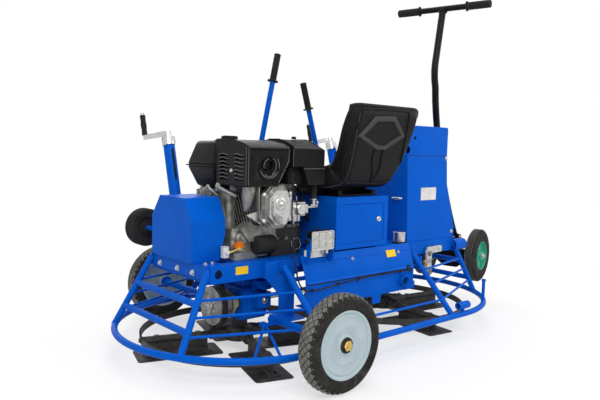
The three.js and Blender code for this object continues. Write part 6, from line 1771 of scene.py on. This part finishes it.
hubCollar = [(10.6, 0), (15, 0), (16, 2), (15, 4), (10.6, 4)]


def dollyAt(out, near, z):
    return np.array([pinAt, 0, z]) + outWay * out + nearWay * near


def dollyBox(o0, o1, n0, n1, z0, z1):
    verts, faces = block(o0, o1, -n1, -n0, z0, z1)
    return verts @ np.stack([outWay, -nearWay, upward]) + (pinAt, 0, 0), faces


def makeDollyBracket():
    b, x = bracket, pinAt
    forms = [block(b["plate"], b["face"], -70, 70, b["low"], 400),
             block(b["plate"], x - 18, -24, 24, b["low"], b["high"]), pipe((x, 0, 300), (x, 0, 352), 25, 14.3, 40),
             prism("xz", [(b["face"], b["low"]), (b["face"], 262), (840, b["low"])], -5, 5),
             prism("xz", [(b["face"], b["high"]), (b["face"], 392), (800, b["high"])], -5, 5)]
    forms += boltsOf([([(b["face"], y, z) for y in (-54, 54) for z in (322, 384)], alongX, 9)])
    makePiece("dollyBracket", forms, "blackPaint", nodes=["dolly_bracket"], bevel=1.6)
    verts, faces = prism("xz", yokeOutline, -5, 5)
    forms = [dollyBox(-17, 17, -120, 120, 246, 290),
             (verts @ np.stack([nearWay, outWay, upward]) + (x, 0, 0), faces),
             turned(pinHead, (x, 0, 290), upward, 40)]
    for n0, n1 in ((-29, -21), (21, 29)):
        forms += [dollyBox(0, 78, n0, n1, 246, 290), dollyBox(45, 78, n0, n1, 246, 366)]
    makePiece("dollyAxle", forms, "blackPaint", "dolly", nodes=["dolly_axle"], bevel=1.6)
    steel = [rod(dollyAt(0, -191, axleHigh), dollyAt(0, 191, axleHigh), 10, 24),
             rod((x, 0, 284), (x, 0, 354), 13.8, 28), disc(19, 7, 1.5, (x, 0, 352.4), upward, 32)]
    steel += boltsOf([([dollyAt(0, 186, axleHigh)], nearWay, 12), ([dollyAt(0, -186, axleHigh)], -nearWay, 12)])
    r = liftRing
    loop = [(x + r["wide"] * math.cos(t), r["wide"] * math.sin(t) * r["lean"], r["z"] + r["tall"] * math.sin(t))
            for t in np.linspace(0, 2 * math.pi, 28, endpoint=False)]
    makePiece("dollySteel", steel + [tube(loop, 2, 8, closed=True)], "brightSteel", "dolly")


# tread outline of a small tyre, with four grooves round it
def smallTyre():
    outline = [(r, -h) for r, h in smallSide] + [(144.6, -18)]
    for c in (-14, -7, 0, 7):
        top = 146 - abs(c) * 0.06
        outline += [(top, c - 1.4), (top, c + 2.6), (140, c + 3.2), (140, c + 5.2)]
    return outline + [(145.2, 13), (144.6, 18)] + smallSide[::-1]


def makeSmallWheel(name, sign):
    body, ending = "small_wheel_" + name, name.capitalize()
    centre = dollyAt(0, sign * smallTrack, axleHigh)
    a, b = sideAxes(nearWay)
    # light rings on the tread lands: painted highlight on their tops
    lands = [turned([(144, c - 1.1), (146.7, c - 1), (146.7, c + 1), (144, c + 1.1)], centre, nearWay, 80,
                    closed=True) for c in smallLands]
    makePiece("smallTreadHighlight" + ending, lands, "treadRubber", body)
    makePiece("smallTyre" + ending, [turned(smallTyre(), centre, nearWay * sign, 80, closed=True)], "tyreRubber",
              body, nodes=[body], sharp=45)
    hub = smallHub + [(r, -h) for r, h in smallHub[::-1]]
    makePiece("smallHub" + ending, [turned(hub, centre, nearWay * sign, 64, closed=True)], "greenPaint", body,
              sharp=40)
    ribs = []
    for way in (-nearWay, nearWay):
        p = centre + way * 15
        for t in np.linspace(0, 2 * math.pi, 6, endpoint=False):
            outward = math.cos(t) * a + math.sin(t) * b
            ribs.append(rod(p + outward * 27, p + outward * 73, 3.4, 10))
        ribs.append(turned(hubCollar, centre + way * 28.6, way, 28, closed=True))
    makePiece("hubRibs" + ending, ribs, "greenPaint", body)


makeDollyBracket()
for name, sign in (("near", 1), ("far", -1)):
    makeSmallWheel(name, sign)

# tow handle: pole with a rounded bend, cross bar, grips and pin
pole = {"out": 56, "foot": 352, "bendOut": -350, "bend": 1245, "topOut": -262, "top": 1593, "round": 70,
        "radius": 18}
poleBow = np.array([-0.753, 0.658, 0]) * 27  # how far the lower part bows out
barReach = 255
poleCollar = [(15, -3), (24, -2), (25, 0), (24, 2), (15, 3)]
gripFlange = [(15.2, -5), (20, -5), (26, -3.4), (26, -1), (20, 0), (15.2, 0)]


def makeHandle():
    h = pole

    def atFoot(near):
        return dollyAt(h["out"], near, h["foot"])

    def atTop(near):
        return dollyAt(h["topOut"], near, h["top"])

    foot, top, bend = atFoot(0), atTop(0), dollyAt(h["bendOut"], 0, h["bend"])
    upper = unit(top - bend)
    before, after = bend + unit(foot - bend) * h["round"], bend + upper * h["round"]
    curve = [(1 - k) ** 2 * before + 2 * k * (1 - k) * bend + k * k * after for k in np.linspace(0, 1, 12)]
    lower = [foot + (before - foot) * k + poleBow * math.sin(math.pi * k) ** 0.8
             for k in np.linspace(0, 1, 13)[:-1]]
    forms = [tube(lower + curve + [top], h["radius"], 28), rod(atFoot(-20.4), atFoot(20.4), h["radius"], 32),
             rod(atTop(8 - barReach), atTop(barReach - 8), 15, 24),
             turned(poleCollar, top - upper * 16, upper, 28, closed=True)]
    makePiece("towHandle", forms, "blackPaint", "handle", nodes=["tow_handle"], bevel=0.8)
    grips = []
    for s in (-1, 1):
        start = atTop(s * 133)
        grips += [turned(gripFlange, start, nearWay * s, 36, closed=True),
                  turned(gripOutline(122.2, 20), start, nearWay * s, 32)]
    makePiece("towGrips", grips, "blackRubber", "handle")
    pin = [rod(atFoot(-33), atFoot(33), 7.8, 20)]
    pin += boltsOf([([atFoot(29.3)], nearWay, 10), ([atFoot(-29.3)], -nearWay, 10)])
    makePiece("handlePin", pin, "brightSteel", "handle")


makeHandle()
print("wheels and dolly made")

# work lamp: finned housing, bezel, six cells with a dimple in each, knobs, wire and bracket
lampAt = (-270, -296, 475)
cell = {"pitchX": 37, "pitchZ": 35, "wide": 16.9, "tall": 15.6, "bulge": 3.2, "dimple": 1.4, "spread": 0.34,
        "points": 9}
lampKnob = [(0, 0), (9, 0), (10, 1.5), (10, 8), (8, 10), (0, 10)]
lampWire = [(-250, -240, 505), (-242, -238, 520), (-226, -238, 512), (-214, -240, 470), (-212, -244, 440),
            (-222, -248, 418), (-240, -248, 412)]


def makeLamp():
    x, y, z = lampAt
    outer = roundedOutline(x - 61, x + 61, z - 39, z + 39, 8)
    inner = roundedOutline(x - 56, x + 56, z - 34, z + 34, 5)
    housing = [prism("xz", outer, y - 11, y + 15)]
    housing += [block(x + dx - 1.6, x + dx + 1.6, y + 14, y + 23, z - 20, z + 20) for dx in range(-48, 49, 12)]
    housing.append(rod((x - 69, y, z), (x + 69, y, z), 4.9, 20))
    makePiece("lampHousing", housing, "blackPaint", "lamp", nodes=["work_lamp"], bevel=1)
    rows = [[(px, y - back, pz) for px, pz in plan] for plan, back in ((outer, 15), (inner, 15), (inner, 11),
                                                                       (outer, 11))]
    bezel = [(np.array(rows).reshape(-1, 3), gridFaces(4, len(outer), True, True))]
    bezel += [block(x + dx - 1.6, x + dx + 1.6, y - 14, y - 10, z - 34, z + 34) for dx in (-18.5, 18.5)]
    bezel.append(block(x - 56, x + 56, y - 14, y - 10, z - 1.6, z + 1.6))
    makePiece("lampBezel", bezel, "brightSteel", "lamp", bevel=0.6)
    makePiece("lampPlate", [block(x - 57, x + 57, y - 12, y - 10.6, z - 35, z + 35)], "lampLens", "lamp")
    makePiece("lampCells", lampCells(), "lampLens", "lamp", sharp=50)
    knobs = [turned(lampKnob, (x + s * 68, y, z), (s, 0, 0), 24) for s in (-1, 1)]
    makePiece("lampKnobs", knobs, "blackPlastic", "lamp")
    makePiece("lampWire", [tube(smoothLine(lampWire, 50), 2.2, 10)], "blackRubber")
    plate = [block(-336, -204, -272, -268, 402, 436)]
    plate += boltsOf([([(-300, -272, 420), (-240, -272, 420)], rear, 6)])
    makePiece("lampBracket", plate, "brightSteel", bevel=0.6)


def lampCells():
    c = cell
    steps = np.linspace(-1, 1, c["points"])
    u, v = np.meshgrid(steps, steps)
    bulge = c["bulge"] * (1 - u**4) * (1 - v**4)
    depth = bulge - c["dimple"] * np.exp(-(u * u + v * v) / c["spread"] ** 2)
    cells = []
    for i in (-1, 0, 1):
        for j in (-0.5, 0.5):
            x, y, z = lampAt[0] + i * c["pitchX"], lampAt[1], lampAt[2] + j * c["pitchZ"]
            across, upwards = x + c["wide"] * u, z + c["tall"] * v
            cells.append(sheetBetween(np.stack([across, y - 10.4 - depth, upwards], 2),
                                      np.stack([across, np.full_like(u, y - 9.6), upwards], 2)))
    return cells


makeLamp()

# throttle cable, held by the panel from end to end
cableRoute = [(-388, -252, 742), (-392, -258, 690), (-396, -264, 541), (-404, -290, 420), (-412, -316, 362),
              (-404, -326, 318), (-374, -319, 290), (-322, -313, 280), (-180, -313, 288), (-52, -313, 296),
              (100, -313, 298), (224, -313, 297), (300, -310, 292)]
cableLevel = -313  # y of the cable along the panel
clipPlaces = (-322, -180, -52, 100, 224)
ferrule = [(0, -8), (4.4, -8), (4.6, -6), (4.6, 2), (3.4, 3), (0, 3)]
clipOutline = [(3.1, -4), (5, -4), (5.4, 0), (5, 4), (3.1, 4)]


def makeCable():
    line = smoothLine(cableRoute, 160)
    ends = [turned(ferrule, line[0], line[0] - line[3], 20), turned(ferrule, line[-1], line[-1] - line[-4], 20)]
    makePiece("throttleCable", [tube(line, 3, 14)] + ends, "blackRubber", nodes=["throttle_cable"])
    clips = []
    for x in clipPlaces:
        k = int(np.argmin(np.abs(line[:, 0] - x) + np.abs(line[:, 1] - cableLevel)))
        clips += [turned(clipOutline, line[k], line[k + 1] - line[k], 18, closed=True),
                  block(x - 4, x + 4, cableLevel, -299.8, line[k][2] - 1.2, line[k][2] + 1.2)]
    makePiece("cableClips", clips, "blackPlastic")


makeCable()

# front roller, grooved round its rim
roller = {"x": -700, "y": 370, "z": 484, "rim": 81.6, "groove": 78}
rollerSide = [(10.3, 29), (24, 29), (26, 20), (44, 18), (46, 28), (50, 29), (72, 29)]


def makeRoller():
    rim, low = roller["rim"], roller["groove"]
    outline = [(r, -h) for r, h in rollerSide] + [(low, -24)]
    for c in range(-20, 21, 8):
        outline += [(rim, c - 2.6), (rim, c + 2.4), (low, c + 3.2), (low, c + 4.6)]
    outline += [(low, 24)] + rollerSide[::-1]
    centre = (roller["x"], roller["y"], roller["z"])
    makePiece("frontRoller", [turned(outline, centre, alongY, 72, closed=True)], "blackRubber", "roller",
              nodes=["front_roller"])


makeRoller()
print("pieces:", len(pieceNames))
